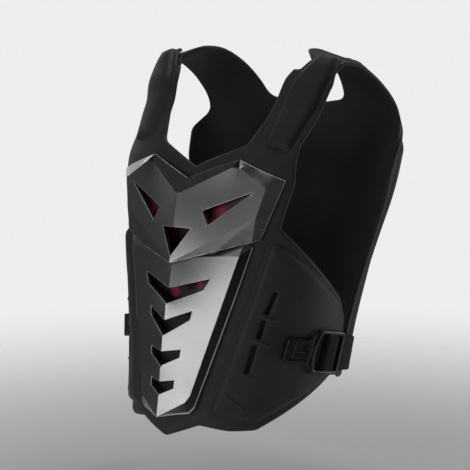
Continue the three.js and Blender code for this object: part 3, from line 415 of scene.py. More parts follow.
def edge_distance(points, loop, step=2.5, chunk=8000):
    """How far each point is from a closed line, and whether it is inside."""
    dense = resampled(loop, step)
    tree = KDTree(len(dense))
    for n, place in enumerate(dense):
        tree.insert((place[0], place[1], 0), n)
    tree.balance()
    nearest = np.array([tree.find((x, y, 0))[1] for x, y in points.tolist()], int)
    distance = np.full(len(points), np.inf)
    for shift in (-1, 0, 1):
        a = dense[(nearest + shift) % len(dense)]
        ab = dense[(nearest + shift + 1) % len(dense)] - a
        t = np.clip(((points - a) * ab).sum(1) / np.maximum((ab**2).sum(1), 1e-12), 0, 1)
        distance = np.minimum(distance, np.linalg.norm(points - a - ab * t[:, None], axis=1))
    a, b = loop, np.roll(loop, -1, axis=0)
    rise = np.where(np.abs(b[:, 1] - a[:, 1]) < 1e-12, 1e-12, b[:, 1] - a[:, 1])
    slope = (b[:, 0] - a[:, 0]) / rise
    inside = np.zeros(len(points), bool)
    for start in range(0, len(points), chunk):
        x, y = points[start:start + chunk, :1], points[start:start + chunk, 1:]
        crosses = (a[:, 1] > y) != (b[:, 1] > y)
        crosses &= x < a[:, 0] + (y - a[:, 1]) * slope
        inside[start:start + chunk] = crosses.sum(1) % 2 == 1
    return distance, inside


def parallel_points(loop, distance):
    """Points beside an anticlockwise loop, inside it for a positive distance."""
    along = np.roll(loop, -1, axis=0) - np.roll(loop, 1, axis=0)
    along /= np.maximum(np.linalg.norm(along, axis=1, keepdims=True), 1e-9)
    inward = np.stack([-along[:, 1], along[:, 0]], 1)
    points = loop + inward * distance
    return points[edge_distance(points, loop)[0] > abs(distance) * CLEAR_SHARE]


def hex_points(loop, step):
    """Points of a grid of equal triangles over a loop's box."""
    low, high = loop.min(0) - step, loop.max(0) + step
    row = step * HEX_ROW
    rows = np.arange(math.floor(low[1] / row), math.ceil(high[1] / row) + 1)
    columns = np.arange(math.floor(low[0] / step) - 1, math.ceil(high[0] / step) + 2)
    cx, cy = np.meshgrid(columns, rows)
    return np.stack([(cx + 0.5 * (cy % 2)).ravel() * step, cy.ravel() * step * HEX_ROW], 1)


def triangulated(loops, extra, lines=()):
    """Triangles of the points of closed loops, open lines and extra points: points and index rows."""
    points, edges = [], []
    for loop in loops:
        start = len(points)
        count = len(loop)
        points.extend(loop.tolist())
        edges.extend((start + i, start + (i + 1) % count) for i in range(count))
    for line in lines:
        start = len(points)
        points.extend(np.asarray(line).tolist())
        edges.extend((start + i, start + i + 1) for i in range(len(line) - 1))
    points.extend(np.asarray(extra).tolist())
    found = delaunay_2d_cdt([Vector(p) for p in points], edges, [], 0, 1e-5)
    places = np.array([tuple(v) for v in found[0]])
    triangles = np.array([f for f in found[2] if len(f) == 3])
    a, b, c = (places[triangles[:, k]] for k in range(3))
    area = (b[:, 0] - a[:, 0]) * (c[:, 1] - a[:, 1]) - (b[:, 1] - a[:, 1]) * (c[:, 0] - a[:, 0])
    triangles[area < 0] = triangles[area < 0][:, ::-1]
    return places, triangles[np.abs(area) > 1e-7]


def pressed(outline, holes, features, step, bands, edge_step=3.0):
    """Flat points and triangles of a sheet. features are loops with closer points beside them."""
    outline = turned_left(resampled(outline, edge_step))
    holes = [turned_left(resampled(hole, edge_step * HOLE_STEP)) for hole in holes]
    features = [(turned_left(resampled(loop, edge_step)), distances) for loop, distances in features]
    beside = [(outline, bands["edge"])]
    beside += [(hole, [-d for d in bands["hole"]]) for hole in holes]
    extra = [parallel_points(loop, d) for loop, distances in beside + features for d in distances]
    grid = hex_points(outline, step)
    keep = edge_distance(grid, outline)[1]
    for loop, distances in beside:
        keep &= edge_distance(grid, loop)[0] > abs(distances[-1]) + step * CLEAR_STEP
    for loop, distances in features:
        distance, inside = edge_distance(grid, loop)
        signed = np.where(inside, distance, -distance)
        before = signed < min(distances) - step * CLEAR_STEP
        keep &= before | (signed > max(distances) + step * CLEAR_STEP)
    extra = np.concatenate(extra + [grid[keep]])
    distance, inside = edge_distance(extra, outline)
    keep = inside & (distance > LEAST_GAP)
    for hole in holes:
        distance, inside = edge_distance(extra, hole)
        keep &= ~inside & (distance > LEAST_GAP)
    extra = extra[keep]
    cells = np.round(extra / LEAST_CELL).astype(int)
    extra = extra[np.unique(cells, axis=0, return_index=True)[1]]
    points, triangles = triangulated([outline] + holes, extra)
    middle = points[triangles].mean(1)
    keep = edge_distance(middle, outline)[1]
    for hole in holes:
        keep &= ~edge_distance(middle, hole)[1]
    return points, triangles[keep]


def open_edges(triangles):
    edges = {}
    for a, b, c in triangles.tolist():
        edges.update(dict.fromkeys(((a, b), (b, c), (c, a))))
    return [(a, b) for a, b in edges if (b, a) not in edges]


def closed_sheet(points, triangles, top, bottom, place):
    """A closed mesh from a flat sheet with a top and a bottom lift at each point."""
    used = np.unique(triangles)
    renumber = -np.ones(len(points), int)
    renumber[used] = np.arange(len(used))
    points, top, bottom = points[used], top[used], bottom[used]
    triangles = renumber[triangles]
    count = len(points)
    faces = triangles.tolist() + (triangles[:, ::-1] + count).tolist()
    faces += [(a, a + count, b + count, b) for a, b in open_edges(triangles)]
    vertices = np.concatenate([place(points, top), place(points, bottom)])
    return vertices, faces, np.concatenate([points, points])


def make_object(name, vertices, faces, uv=None, material=None, sharp=None):
    mesh = bpy.data.meshes.new(name)
    mesh.from_pydata((np.asarray(vertices) * MM).tolist(), [], [tuple(f) for f in faces])
    mesh.validate()
    if uv is not None:
        layer = mesh.uv_layers.new(name="pattern")
        index = np.zeros(len(mesh.loops), int)
        mesh.loops.foreach_get("vertex_index", index)
        layer.data.foreach_set("uv", (np.asarray(uv)[index] * MM).ravel())
    mesh.polygons.foreach_set("use_smooth", [True] * len(mesh.polygons))
    if sharp is not None:
        mesh.set_sharp_from_angle(angle=math.radians(sharp))
    if material is not None:
        mesh.materials.append(material)
    piece = bpy.data.objects.new(name, mesh)
    bpy.context.scene.collection.objects.link(piece)
    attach(piece, "root")
    return piece


def round_profile(distance, width, fullness=0.85):
    """0 at the foot, 1 from width inwards, like a quarter round."""
    t = np.clip(distance / width, 0, 1)
    return np.sin(t * math.pi / 2) ** fullness


def wave_noise(x, y, scale, seed, terms=7):
    """Soft seeded unevenness between about -1 and 1."""
    rng = np.random.default_rng(seed)
    total = np.zeros(len(x))
    for _ in range(terms):
        angle, phase = rng.uniform(0, 2 * math.pi, 2)
        size = scale * rng.uniform(*NOISE_SIZES)
        total += np.sin((x * math.cos(angle) + y * math.sin(angle)) * 2 * math.pi / size + phase)
    return total / math.sqrt(terms)


# Materials.
def new_material(name):
    material = bpy.data.materials.new(name)
    material.use_nodes = True
    tree = material.node_tree
    return material, tree, tree.nodes["Principled BSDF"]


def set_inputs(node, **values):
    """Sets inputs by name, with an underscore for each space."""
    for key, value in values.items():
        node.inputs[key.replace("_", " ")].default_value = value


def add_node(tree, kind, **values):
    """A new node with its properties and its inputs set."""
    node = tree.nodes.new(kind)
    for key, value in values.items():
        if key.replace("_", " ") in node.inputs:
            set_inputs(node, **{key: value})
        else:
            setattr(node, key, value)
    return node


def add_bump(tree, vector, texture, output, strength, distance):
    """A bump from a texture that reads the given coordinates."""
    bump = add_node(tree, "ShaderNodeBump", Strength=strength, Distance=distance)
    tree.links.new(vector, texture.inputs["Vector"])
    tree.links.new(texture.outputs[output], bump.inputs["Height"])
    return bump


def two_tones(tree, source, target, low, low_tone, high, high_tone):
    """Colours a target input from one tone to another as the source goes from low to high."""
    ramp = add_node(tree, "ShaderNodeValToRGB")
    for element, position, tone in zip(ramp.color_ramp.elements, (low, high), (low_tone, high_tone)):
        element.position = position
        element.color = (*tone, 1)
    tree.links.new(source, ramp.inputs["Fac"])
    tree.links.new(ramp.outputs["Color"], target)


def foam_material():
    """Matt black fabric laminated on foam, with a fine knit."""
    material, tree, shader = new_material("vest_foam_fabric")
    set_inputs(shader, Roughness=0.56, Specular_IOR_Level=0.36, Sheen_Weight=0.03, Sheen_Roughness=0.4)
    vector = add_node(tree, "ShaderNodeTexCoord").outputs["Object"]
    tone = add_node(tree, "ShaderNodeTexNoise", Scale=22.0, Detail=4.0)
    tree.links.new(vector, tone.inputs["Vector"])
    two_tones(tree, tone.outputs["Fac"], shader.inputs["Base Color"],
              0.3, (0.040, 0.040, 0.0415), 0.75, (0.056, 0.056, 0.058))
    knit = add_node(tree, "ShaderNodeTexVoronoi", Scale=950.0)
    grain = add_node(tree, "ShaderNodeTexNoise", Scale=260.0, Detail=3.0)
    fine = add_bump(tree, vector, knit, "Distance", 0.25, 0.0003)
    coarse = add_bump(tree, vector, grain, "Fac", 0.18, 0.0006)
    tree.links.new(coarse.outputs["Normal"], fine.inputs["Normal"])
    tree.links.new(fine.outputs["Normal"], shader.inputs["Normal"])
    return material


def plate_material():
    """Satin gunmetal paint on moulded plastic, with a painted highlight on the edges and painted shade on a
    band of bevel faces.
    """
    material, tree, shader = new_material("vest_plate_satin")
    link = tree.links.new
    set_inputs(shader, Metallic=0.9, Coat_Weight=0.15, Coat_Roughness=0.3)
    vector = add_node(tree, "ShaderNodeTexCoord").outputs["Object"]
    cloud = add_node(tree, "ShaderNodeTexNoise", Scale=14.0, Detail=5.0)
    spread = add_node(tree, "ShaderNodeMapRange", To_Min=0.22, To_Max=0.29)
    link(vector, cloud.inputs["Vector"])
    link(cloud.outputs["Fac"], spread.inputs["Value"])
    # painted highlight: this face attribute marks edge faces that get a near white base colour and a rougher
    # finish
    painted_highlight = add_node(tree, "ShaderNodeAttribute", attribute_name="painted_highlight")
    # painted shade: this face attribute marks the bevel band and the peak facets
    band = add_node(tree, "ShaderNodeAttribute", attribute_name="painted_shade_band")
    # mixes the near black painted shade into the gunmetal
    paint = add_node(tree, "ShaderNodeMix", data_type="RGBA")
    set_inputs(paint, A=(0.33, 0.33, 0.335, 1), B=(0.045, 0.045, 0.047, 1))
    link(band.outputs["Fac"], paint.inputs["Factor"])
    # mixes the near white painted highlight into the marked edge faces
    tone = add_node(tree, "ShaderNodeMix", data_type="RGBA")
    set_inputs(tone, B=(0.85, 0.85, 0.86, 1))
    link(paint.outputs["Result"], tone.inputs["A"])
    link(painted_highlight.outputs["Fac"], tone.inputs["Factor"])
    link(tone.outputs["Result"], shader.inputs["Base Color"])
    rough = add_node(tree, "ShaderNodeMix", data_type="FLOAT")
    set_inputs(rough, B=0.5)
    link(painted_highlight.outputs["Fac"], rough.inputs["Factor"])
    link(spread.outputs["Result"], rough.inputs["A"])
    link(rough.outputs["Result"], shader.inputs["Roughness"])
    flake = add_node(tree, "ShaderNodeTexNoise", Scale=900.0, Detail=2.0)
    link(add_bump(tree, vector, flake, "Fac", 0.03, 0.0002).outputs["Normal"], shader.inputs["Normal"])
    return material


def lining_material():
    """Red satin cloth, painted near black as shade except where its lit share attribute is high, where it is
    painted lit red.
    """
    material, tree, shader = new_material("vest_red_lining")
    set_inputs(shader, Roughness=0.34)
    share = add_node(tree, "ShaderNodeAttribute", attribute_name="lit_share")
    # painted shade is near black, painted light is red
    two_tones(tree, share.outputs["Fac"], shader.inputs["Base Color"],
              0.05, (0.022, 0.0025, 0.0045), 0.8, (0.48, 0.022, 0.075))
    vector = add_node(tree, "ShaderNodeTexCoord").outputs["Object"]
    weave = add_node(tree, "ShaderNodeTexVoronoi", Scale=700.0)
    bump = add_bump(tree, vector, weave, "Distance", 0.4, 0.0004)
    tree.links.new(bump.outputs["Normal"], shader.inputs["Normal"])
    return material


def buckle_material():
    """Satin black moulded plastic with a fine grain."""
    material, tree, shader = new_material("vest_buckle_plastic")
    set_inputs(shader, Base_Color=(0.010, 0.010, 0.011, 1), Roughness=0.3, Specular_IOR_Level=0.4)
    vector = add_node(tree, "ShaderNodeTexCoord").outputs["Object"]
    grain = add_node(tree, "ShaderNodeTexNoise", Scale=1400.0, Detail=2.0)
    bump = add_bump(tree, vector, grain, "Fac", 0.08, 0.0002)
    tree.links.new(bump.outputs["Normal"], shader.inputs["Normal"])
    return material


def webbing_material():
    """Black herringbone webbing; the weave follows the pattern map."""
    material, tree, shader = new_material("vest_webbing")
    link = tree.links.new
    set_inputs(shader, Base_Color=(0.014, 0.014, 0.015, 1), Roughness=0.75, Specular_IOR_Level=0.2,
               Sheen_Weight=0.04)
    pattern = add_node(tree, "ShaderNodeUVMap", uv_map="pattern")
    weave = add_node(tree, "ShaderNodeMath", operation="ADD")
    for n, (way, scale, distortion) in enumerate((("DIAGONAL", 160.0, 0.4), ("Y", 90.0, 0.0))):
        wave = add_node(tree, "ShaderNodeTexWave", Scale=scale, Distortion=distortion, bands_direction=way)
        link(pattern.outputs["UV"], wave.inputs["Vector"])
        link(wave.outputs["Fac"], weave.inputs[n])
    bump = add_node(tree, "ShaderNodeBump", Strength=0.35, Distance=0.0004)
    link(weave.outputs["Value"], bump.inputs["Height"])
    link(bump.outputs["Normal"], shader.inputs["Normal"])
    return material


FOAM = foam_material()
PLATE = plate_material()
LINING = lining_material()
BUCKLE = buckle_material()
WEBBING = webbing_material()


# Foam panels.
def share_corners(rows, across_size, down_size):
    return [(a * across_size, -d * down_size, r) for a, d, r in rows]


def mirrored_corners(corners):
    return [(-x, y, r) for x, y, r in reversed(corners)]


def slot_loops():
    loops = []
    for across_top, down_top, across_end, down_end in FLANK_SLOTS:
        start = np.array([across_top * FLANK_REACH, -down_top * CHEST_RUN])
        end = np.array([across_end * FLANK_REACH, -down_end * CHEST_RUN])
        along = (end - start) / np.linalg.norm(end - start)
        side = np.array([-along[1], along[0]]) * SLOT_WIDTH / 2
        corners = [start - side, start + side, end + side, end - side]
        for sign in (1, -1):
            loops.append(rounded([(sign * c[0], c[1], SLOT_CORNER) for c in corners], 3))
    return loops


def foam_lifts(points, outline, fields, slots, dome):
    """Top and bottom lift of a pressed foam sheet: rounded rim, raised fields, pressed slots."""
    distance = edge_distance(points, outline)[0]
    rim = np.sqrt(np.maximum(0, 1 - (1 - np.clip(distance / RIM_ROUND, 0, 1)) ** 2))
    top = RIM_WALL + (FOAM_EDGE - RIM_WALL) * rim
    bottom = RIM_UNDERCUT * (1 - rim)
    for loop in fields:
        gap, inside = edge_distance(points, loop)
        signed = np.where(inside, gap, -gap)
        top += FIELD_RAISE * round_profile(signed, FIELD_ROUND) * inside
        top += dome * (1 - np.exp(-np.maximum(signed - FIELD_ROUND, 0) / DOME_REACH)) * inside
        top -= FIELD_FOOT * np.exp(-((signed + FIELD_FOOT_PLACE) / FIELD_FOOT_WIDTH) ** 2)
    for slot in slots:
        gap, inside = edge_distance(points, slot)
        top = np.where(inside, SLOT_FLOOR, top - SLOT_SINK * np.exp(-((gap / SLOT_SINK_REACH) ** 2)))
    return top, bottom


def chest_panel():
    corners = [(a * (ARM_REACH if arm else FLANK_REACH), -d * CHEST_RUN, r)
               for a, d, arm, r in CHEST_OUTLINE]
    outline = turned_left(rounded(mirrored_half(corners)))
    pad = share_corners(ARM_PAD, ARM_REACH, CHEST_RUN)
    flank = share_corners(FLANK_FIELD, FLANK_REACH, CHEST_RUN)
    fields = [rounded(f) for f in (pad, flank, mirrored_corners(pad), mirrored_corners(flank))]
    slots = slot_loops()
    features = [(f, FIELD_BANDS) for f in fields] + [(s, SLOT_BANDS) for s in slots]
    features += [(line_loop(start, end), LINE_BANDS) for start, end, _ in embossed_ends()]
    points, triangles = pressed(outline, [], features, CHEST_STEP, {"edge": EDGE_BANDS, "hole": []})
    top, bottom = foam_lifts(points, outline, fields, slots, CHEST_DOME)
    top += embossed_lines(points)
    uneven = wave_noise(points[:, 0], points[:, 1], UNEVEN_SIZE, 3) * UNEVEN_HEIGHT
    raised = np.clip((top - FOAM_EDGE) / FIELD_RAISE, 0, 1)
    top += uneven * raised * (top > SLOT_FLOOR + 0.1)

    def place(flat, lift):
        return lifted(flat[:, 0], -flat[:, 1], lift + arm_rise(-flat[:, 1]), 1)

    vertices, faces, uv = closed_sheet(points, triangles, top, bottom, place)
    piece = make_object("front_foam_cover", vertices, faces, uv, FOAM, SLOT_SHARP)
    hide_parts("front_foam_panel")


def embossed_ends():
    """Both ends and the height of each fine raised line: at the slots' lower ends, and low on each flank."""
    start, end, height = SLOT_LINE
    lines = [((across + start[0], down + start[1]), (across + end[0], down + end[1]), height)
             for _, _, across, down in FLANK_SLOTS] + [FLANK_LINE]
    return [(np.array([sign * start[0] * FLANK_REACH, -start[1] * CHEST_RUN]),
             np.array([sign * end[0] * FLANK_REACH, -end[1] * CHEST_RUN]), height)
            for start, end, height in lines for sign in (1, -1)]


def line_loop(start, end):
    along = (end - start) / np.linalg.norm(end - start)
    side = np.array([-along[1], along[0]]) * LINE_HALF
    return np.array([start - side, start + side, end + side, end - side])


def embossed_lines(points):
    total = np.zeros(len(points))
    for start, end, height in embossed_ends():
        t = np.clip(((points - start) @ (end - start)) / ((end - start) @ (end - start)), 0, 1)
        gap = np.linalg.norm(points - (start + t[:, None] * (end - start)), axis=1)
        total += height * np.exp(-((gap / LINE_SOFT) ** 2))
    return total


def arm_gather(points):
    """Small folds where the back panel's arms bend over the shoulders."""
    across = (np.abs(points[:, 0]) / ARM_REACH - GATHER_PLACE[0]) / GATHER_REACH[0]
    down = (-points[:, 1] / BACK_RUN - GATHER_PLACE[1]) / GATHER_REACH[1]
    slant = (points[:, 1] + GATHER_SLANT * np.abs(points[:, 0])) * 2 * math.pi
    waves = sum(height * np.sin(slant / length + start) for height, length, start in GATHER_WAVES)
    return np.exp(-(across**2) - down**2) * waves


def back_panel():
    corners = []
    for a, d, arm, r in BACK_OUTLINE:
        y = ARM_OVERLAP if d == -1 else -d * BACK_RUN
        corners.append((a * (ARM_REACH if arm else BACK_REACH), y, r))
    outline = turned_left(rounded(mirrored_half(corners)))
    field = rounded(mirrored_half(share_corners(BACK_FIELD, BACK_REACH, BACK_RUN)))
    bands = {"edge": EDGE_BANDS, "hole": []}
    points, triangles = pressed(outline, [], [(field, FIELD_BANDS)], BACK_STEP, bands)
    top, bottom = foam_lifts(points, outline, [field], [], BACK_DOME)
    top += arm_gather(points)
    vertices, faces, uv = closed_sheet(
        points, triangles, top, bottom, lambda flat, lift: lifted(flat[:, 0], -flat[:, 1], lift, -1))
    piece = make_object("back_foam_cover", vertices, faces, uv, FOAM)
    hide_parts("back_foam_panel")


# Hard plates. Each half is a height map: how far the face stands in front, over X and Z.
def corner_place(row, half, top, run):
    return np.array([row[0] * half, top + row[1] * run, RIM_LIFT + row[2] * RIDGE_RISE])


def place_3d(places):
    places = np.atleast_2d(places)
    return lifted(places[:, 0], places[:, 1], places[:, 2], 1)


def rim_line(a, b, step=3.0):
    """A line that follows the foam."""
    pieces = max(1, math.ceil(np.linalg.norm(b - a) / step))
    t = np.linspace(0, 1, pieces + 1)[:, None]
    return place_3d(a + (b - a) * t)


def straight_line(a, b, step=3.0):
    start, end = place_3d(a)[0], place_3d(b)[0]
    pieces = max(1, math.ceil(np.linalg.norm(end - start) / step))
    t = np.linspace(0, 1, pieces + 1)[:, None]
    return start + (end - start) * t


def vent_outline(rows, rises, half, top, run):
    places = [[a * half, top + d * run, RIM_LIFT + rise * RIDGE_RISE] for (a, d), rise in zip(rows, rises)]
    return place_3d(np.array(places))[:, [0, 2]]


def drawn_out(loop, distance):
    """A closed loop drawn out by a distance, corner by corner."""
    loop = turned_left(loop)
    to_point = loop - np.roll(loop, 1, axis=0)
    from_point = np.roll(loop, -1, axis=0) - loop
    to_point /= np.linalg.norm(to_point, axis=1, keepdims=True)
    from_point /= np.linalg.norm(from_point, axis=1, keepdims=True)
    normal_a = np.stack([to_point[:, 1], -to_point[:, 0]], 1)
    normal_b = np.stack([from_point[:, 1], -from_point[:, 0]], 1)
    bisector = normal_a + normal_b
    bisector /= np.linalg.norm(bisector, axis=1, keepdims=True)
    stretch = 1 / np.maximum((bisector * normal_a).sum(1), 0.5)
    return loop + bisector * distance * stretch[:, None]


def solved_heights(points, triangles, fixed, heights, rounds=800, close=1e-10):
    """Heights that pass smoothly between the fixed ones, found by conjugate gradients."""
    count = len(points)
    a, b, c = triangles.T
    i = np.concatenate([a, b, c])
    j = np.concatenate([b, c, a])
    k = np.concatenate([c, a, b])
    u, v = points[i] - points[k], points[j] - points[k]
    cross = np.abs(u[:, 0] * v[:, 1] - u[:, 1] * v[:, 0])
    weight = np.clip(0.5 * (u * v).sum(1) / np.maximum(cross, 1e-9), 0.02, 8)
    free = ~fixed

    def apply(values):
        result = np.zeros(count)
        flow = weight * (values[i] - values[j])
        np.add.at(result, i, flow)
        np.add.at(result, j, -flow)
        return result

    diagonal = np.zeros(count)
    np.add.at(diagonal, i, weight)
    np.add.at(diagonal, j, weight)
    values = np.where(fixed, heights, heights[fixed].mean())
    residual = -apply(values) * free
    scaled = residual / diagonal
    direction = scaled.copy()
    size = residual @ scaled
    for _ in range(rounds):
        pushed = apply(direction) * free
        step = size / max(direction @ pushed, 1e-20)
        values += step * direction
        residual -= step * pushed
        scaled = residual / diagonal
        new_size = residual @ scaled
        if new_size < close:
            break
        direction = scaled + (new_size / size) * direction
        size = new_size
    return values


def line_heights(points, lines):
    """Which points lie on a feature line, and the height of the line there."""
    start = np.concatenate([line[:-1] for line in lines])
    end = np.concatenate([line[1:] for line in lines])
    a, b = start[:, [0, 2]], end[:, [0, 2]]
    ab = b - a
    length2 = np.maximum((ab**2).sum(1), 1e-12)
    t = np.clip(((points[:, None] - a) * ab).sum(2) / length2, 0, 1)
    gap = ((points[:, None] - (a + ab * t[..., None])) ** 2).sum(2)
    nearest = gap.argmin(1)
    rows = np.arange(len(points))
    share = t[rows, nearest]
    height = start[nearest, 1] * (1 - share) + end[nearest, 1] * share
    return gap[rows, nearest] < 1e-5, height


def vent_pair(vent):
    """A vent's edge and its collar's, cut into as many pieces."""
    loop = turned_left(np.array(vent))
    outer = drawn_out(loop, COLLAR_WALL)
    pair = []
    for line in (loop, outer):
        made = []
        for n in range(len(loop)):
            m = (n + 1) % len(loop)
            count = max(1, math.ceil(np.linalg.norm(loop[m] - loop[n]) / VENT_STEP))
            made.extend(line[n] + (line[m] - line[n]) * s / count for s in range(count))
        pair.append(np.array(made))
    return pair


def plate(name, lines, half_rim, vents, node):
    """A shell over the feature lines of the half at X >= 0. The rim and the vents are seen in X and Z."""
    mirror = np.array([-1, 1, 1])
    lines = lines + [line * mirror for line in lines]
    outline = np.concatenate([half_rim, (half_rim * np.array([-1, 1]))[::-1][1:-1]])
    pairs = [vent_pair(vent) for vent in vents]
    grid = hex_points(outline, PLATE_STEP)
    distance, inside = edge_distance(grid, outline)
    keep = inside & (distance > PLATE_STEP * 0.5)
    for line in lines:
        there_and_back = np.concatenate([line, line[-2:0:-1]])[:, [0, 2]]
        keep &= edge_distance(grid, there_and_back)[0] > PLATE_STEP * 0.5
    for pair in pairs:
        for loop in pair:
            keep &= edge_distance(grid, loop)[0] > PLATE_STEP * 0.45
    points, triangles = triangulated([loop for pair in pairs for loop in pair], grid[keep],
                                     [line[:, [0, 2]] for line in lines])
    triangles = triangles[edge_distance(points[triangles].mean(1), outline)[1]]
    fixed, heights = line_heights(points, lines)
    used = np.zeros(len(points), bool)
    used[np.unique(triangles)] = True
    heights = solved_heights(points, triangles, fixed | ~used, heights)
    return plate_shell(name, points, triangles, heights, pairs, node)


def plate_shell(name, points, triangles, heights, pairs, node):
    """The shell in three layers: its face, its back, and the ends of the vents' collars."""
    face = np.stack([points[:, 0], heights, points[:, 1]], 1)
    a, b, c = (face[triangles[:, k]] for k in range(3))
    face_normal = np.cross(b - a, c - a)
    normal = np.zeros_like(face)
    for k in range(3):
        np.add.at(normal, triangles[:, k], face_normal)
    normal /= np.maximum(np.linalg.norm(normal, axis=1, keepdims=True), 1e-12)
    middle = points[triangles].mean(1)
    hole = np.zeros(len(triangles), bool)
    collar = np.zeros(len(triangles), bool)
    for inner, outer in pairs:
        in_hole = edge_distance(middle, inner)[1]
        hole |= in_hole
        collar |= edge_distance(middle, outer)[1] & ~in_hole
    count = len(points)
    layers = np.concatenate([face, face - normal * SHELL, face + np.array([0, COLLAR_DEPTH, 0])])
    front, rear = triangles[~hole], triangles[~hole & ~collar]
    faces = front.tolist() + (rear[:, ::-1] + count).tolist()
    faces += (triangles[collar][:, ::-1] + 2 * count).tolist()
    rim_edges = set(open_edges(front))
    collar_edges = set(open_edges(triangles[collar]))
    for p, q in rim_edges:
        deep = 2 * count if (p, q) in collar_edges else count
        faces.append((q, p, p + deep, q + deep))
    for p, q in collar_edges - rim_edges:
        faces.append((p + 2 * count, q + 2 * count, q + count, p + count))
    used = np.unique(np.concatenate([np.array(f) for f in faces]))
    renumber = -np.ones(len(layers), int)
    renumber[used] = np.arange(len(used))
    faces = [tuple(renumber[list(f)]) for f in faces]
    piece = make_object(name, layers[used], faces, None, PLATE)
    finish_edges(piece)
    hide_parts(node)
    return piece


def narrow_meeting(ways):
    """Whether two sharp edges that leave a corner lie close together."""
    limit = math.radians(NARROW_ANGLE)
    return any(a.angle(b) < limit for n, a in enumerate(ways) for b in ways[:n])


def place_tree(places):
    tree = KDTree(len(places))
    for n, place in enumerate(places):
        tree.insert(place, n)
    tree.balance()
    return tree


def finish_edges(piece):
    """Small rounds on the sharp edges, and smaller ones on the creases. Sharp edges' rounds get a painted
    highlight.
    """
    mesh = piece.data
    work = bmesh.new()
    work.from_mesh(mesh)
    bmesh.ops.remove_doubles(work, verts=work.verts, dist=1e-6)
    bmesh.ops.recalc_face_normals(work, faces=work.faces)
    work.verts.index_update()
    weights = work.edges.layers.float.new("bevel_weight_edge")
    places = []
    ways = {}  # where each vertex lies, and which ways its sharp edges leave it
    for edge in work.edges:
        if len(edge.link_faces) == 2:
            angle = edge.calc_face_angle(0)
            if angle > math.radians(SHARP_ANGLE):
                edge[weights] = 1.0
                a, b = edge.verts[0].co, edge.verts[1].co
                places.extend((a, a * 0.5 + b * 0.5, b))
                ways.setdefault(edge.verts[0].index, []).append((a, (b - a).normalized()))
                ways.setdefault(edge.verts[1].index, []).append((b, (a - b).normalized()))
            elif angle > math.radians(CREASE_ANGLE):
                edge[weights] = CREASE_SHARE
    narrow = [found[0][0] for found in ways.values() if narrow_meeting([w for _, w in found])]
    tips = place_tree(narrow)
    for edge in work.edges:
        if narrow and edge[weights] > 0:
            middle = (edge.verts[0].co + edge.verts[1].co) / 2
            edge[weights] *= min(1.0, max(0.1, tips.find(middle)[2] / (TIP_TAPER * MM)))
    tree = place_tree(places)
    work.to_mesh(mesh)
    work.free()
    bevel = piece.modifiers.new("edge_rounds", "BEVEL")
    bevel.width = PLATE_ROUND * MM
    bevel.segments = 2
    bevel.limit_method = "WEIGHT"
    bevel.material = 1
    bevel.harden_normals = True
    bevel.use_clamp_overlap = False
    mesh.materials.append(PLATE)
    settle(piece)
    made = piece.data
    # painted highlight on the rounds of the sharp edges
    painted_highlight = made.attributes.new("painted_highlight", "FLOAT", "FACE")
    for face in made.polygons:
        near = face.material_index == 1 and tree.find(face.center)[2] < PLATE_ROUND * MM
        painted_highlight.data[face.index].value = float(near)
        face.material_index = 0
    made.materials.pop(index=1)


def lip_line(rim, start, end):
    """A line just inside a rim, on the facet between the rim and the crease from start to end."""
    t = np.linspace(0, 1, len(rim))[:, None]
    across = start + (end - start) * t - rim
    width = np.linalg.norm(across, axis=1, keepdims=True)
    return rim + across * np.minimum(LIP_WIDTH / np.maximum(width, 1e-6), 0.4)


def painted(piece, name, outer, inner, reach):
    """A face attribute between two lines seen in X and Z, on both halves; full from reach outwards."""
    mesh = piece.data
    centres = np.array([face.center for face in mesh.polygons]) / MM
    flat = np.stack([np.abs(centres[:, 0]), centres[:, 2]], 1)
    inside = edge_distance(flat, np.concatenate([outer, inner[::-1]])[:, [0, 2]])[1]
    layer = mesh.attributes.get(name) or mesh.attributes.new(name, "FLOAT", "FACE")
    values = np.zeros(len(flat))
    layer.data.foreach_get("value", values)
    layer.data.foreach_set("value", np.where(inside, np.clip(flat[:, 0] / reach, 0, 1), values))


def settle(piece):
    """The modifiers' result becomes the mesh."""
    graph = bpy.context.evaluated_depsgraph_get()
    made = bpy.data.meshes.new_from_object(piece.evaluated_get(graph))
    old = piece.data
    piece.modifiers.clear()
    piece.data = made
    made.name = piece.name
    bpy.data.meshes.remove(old)


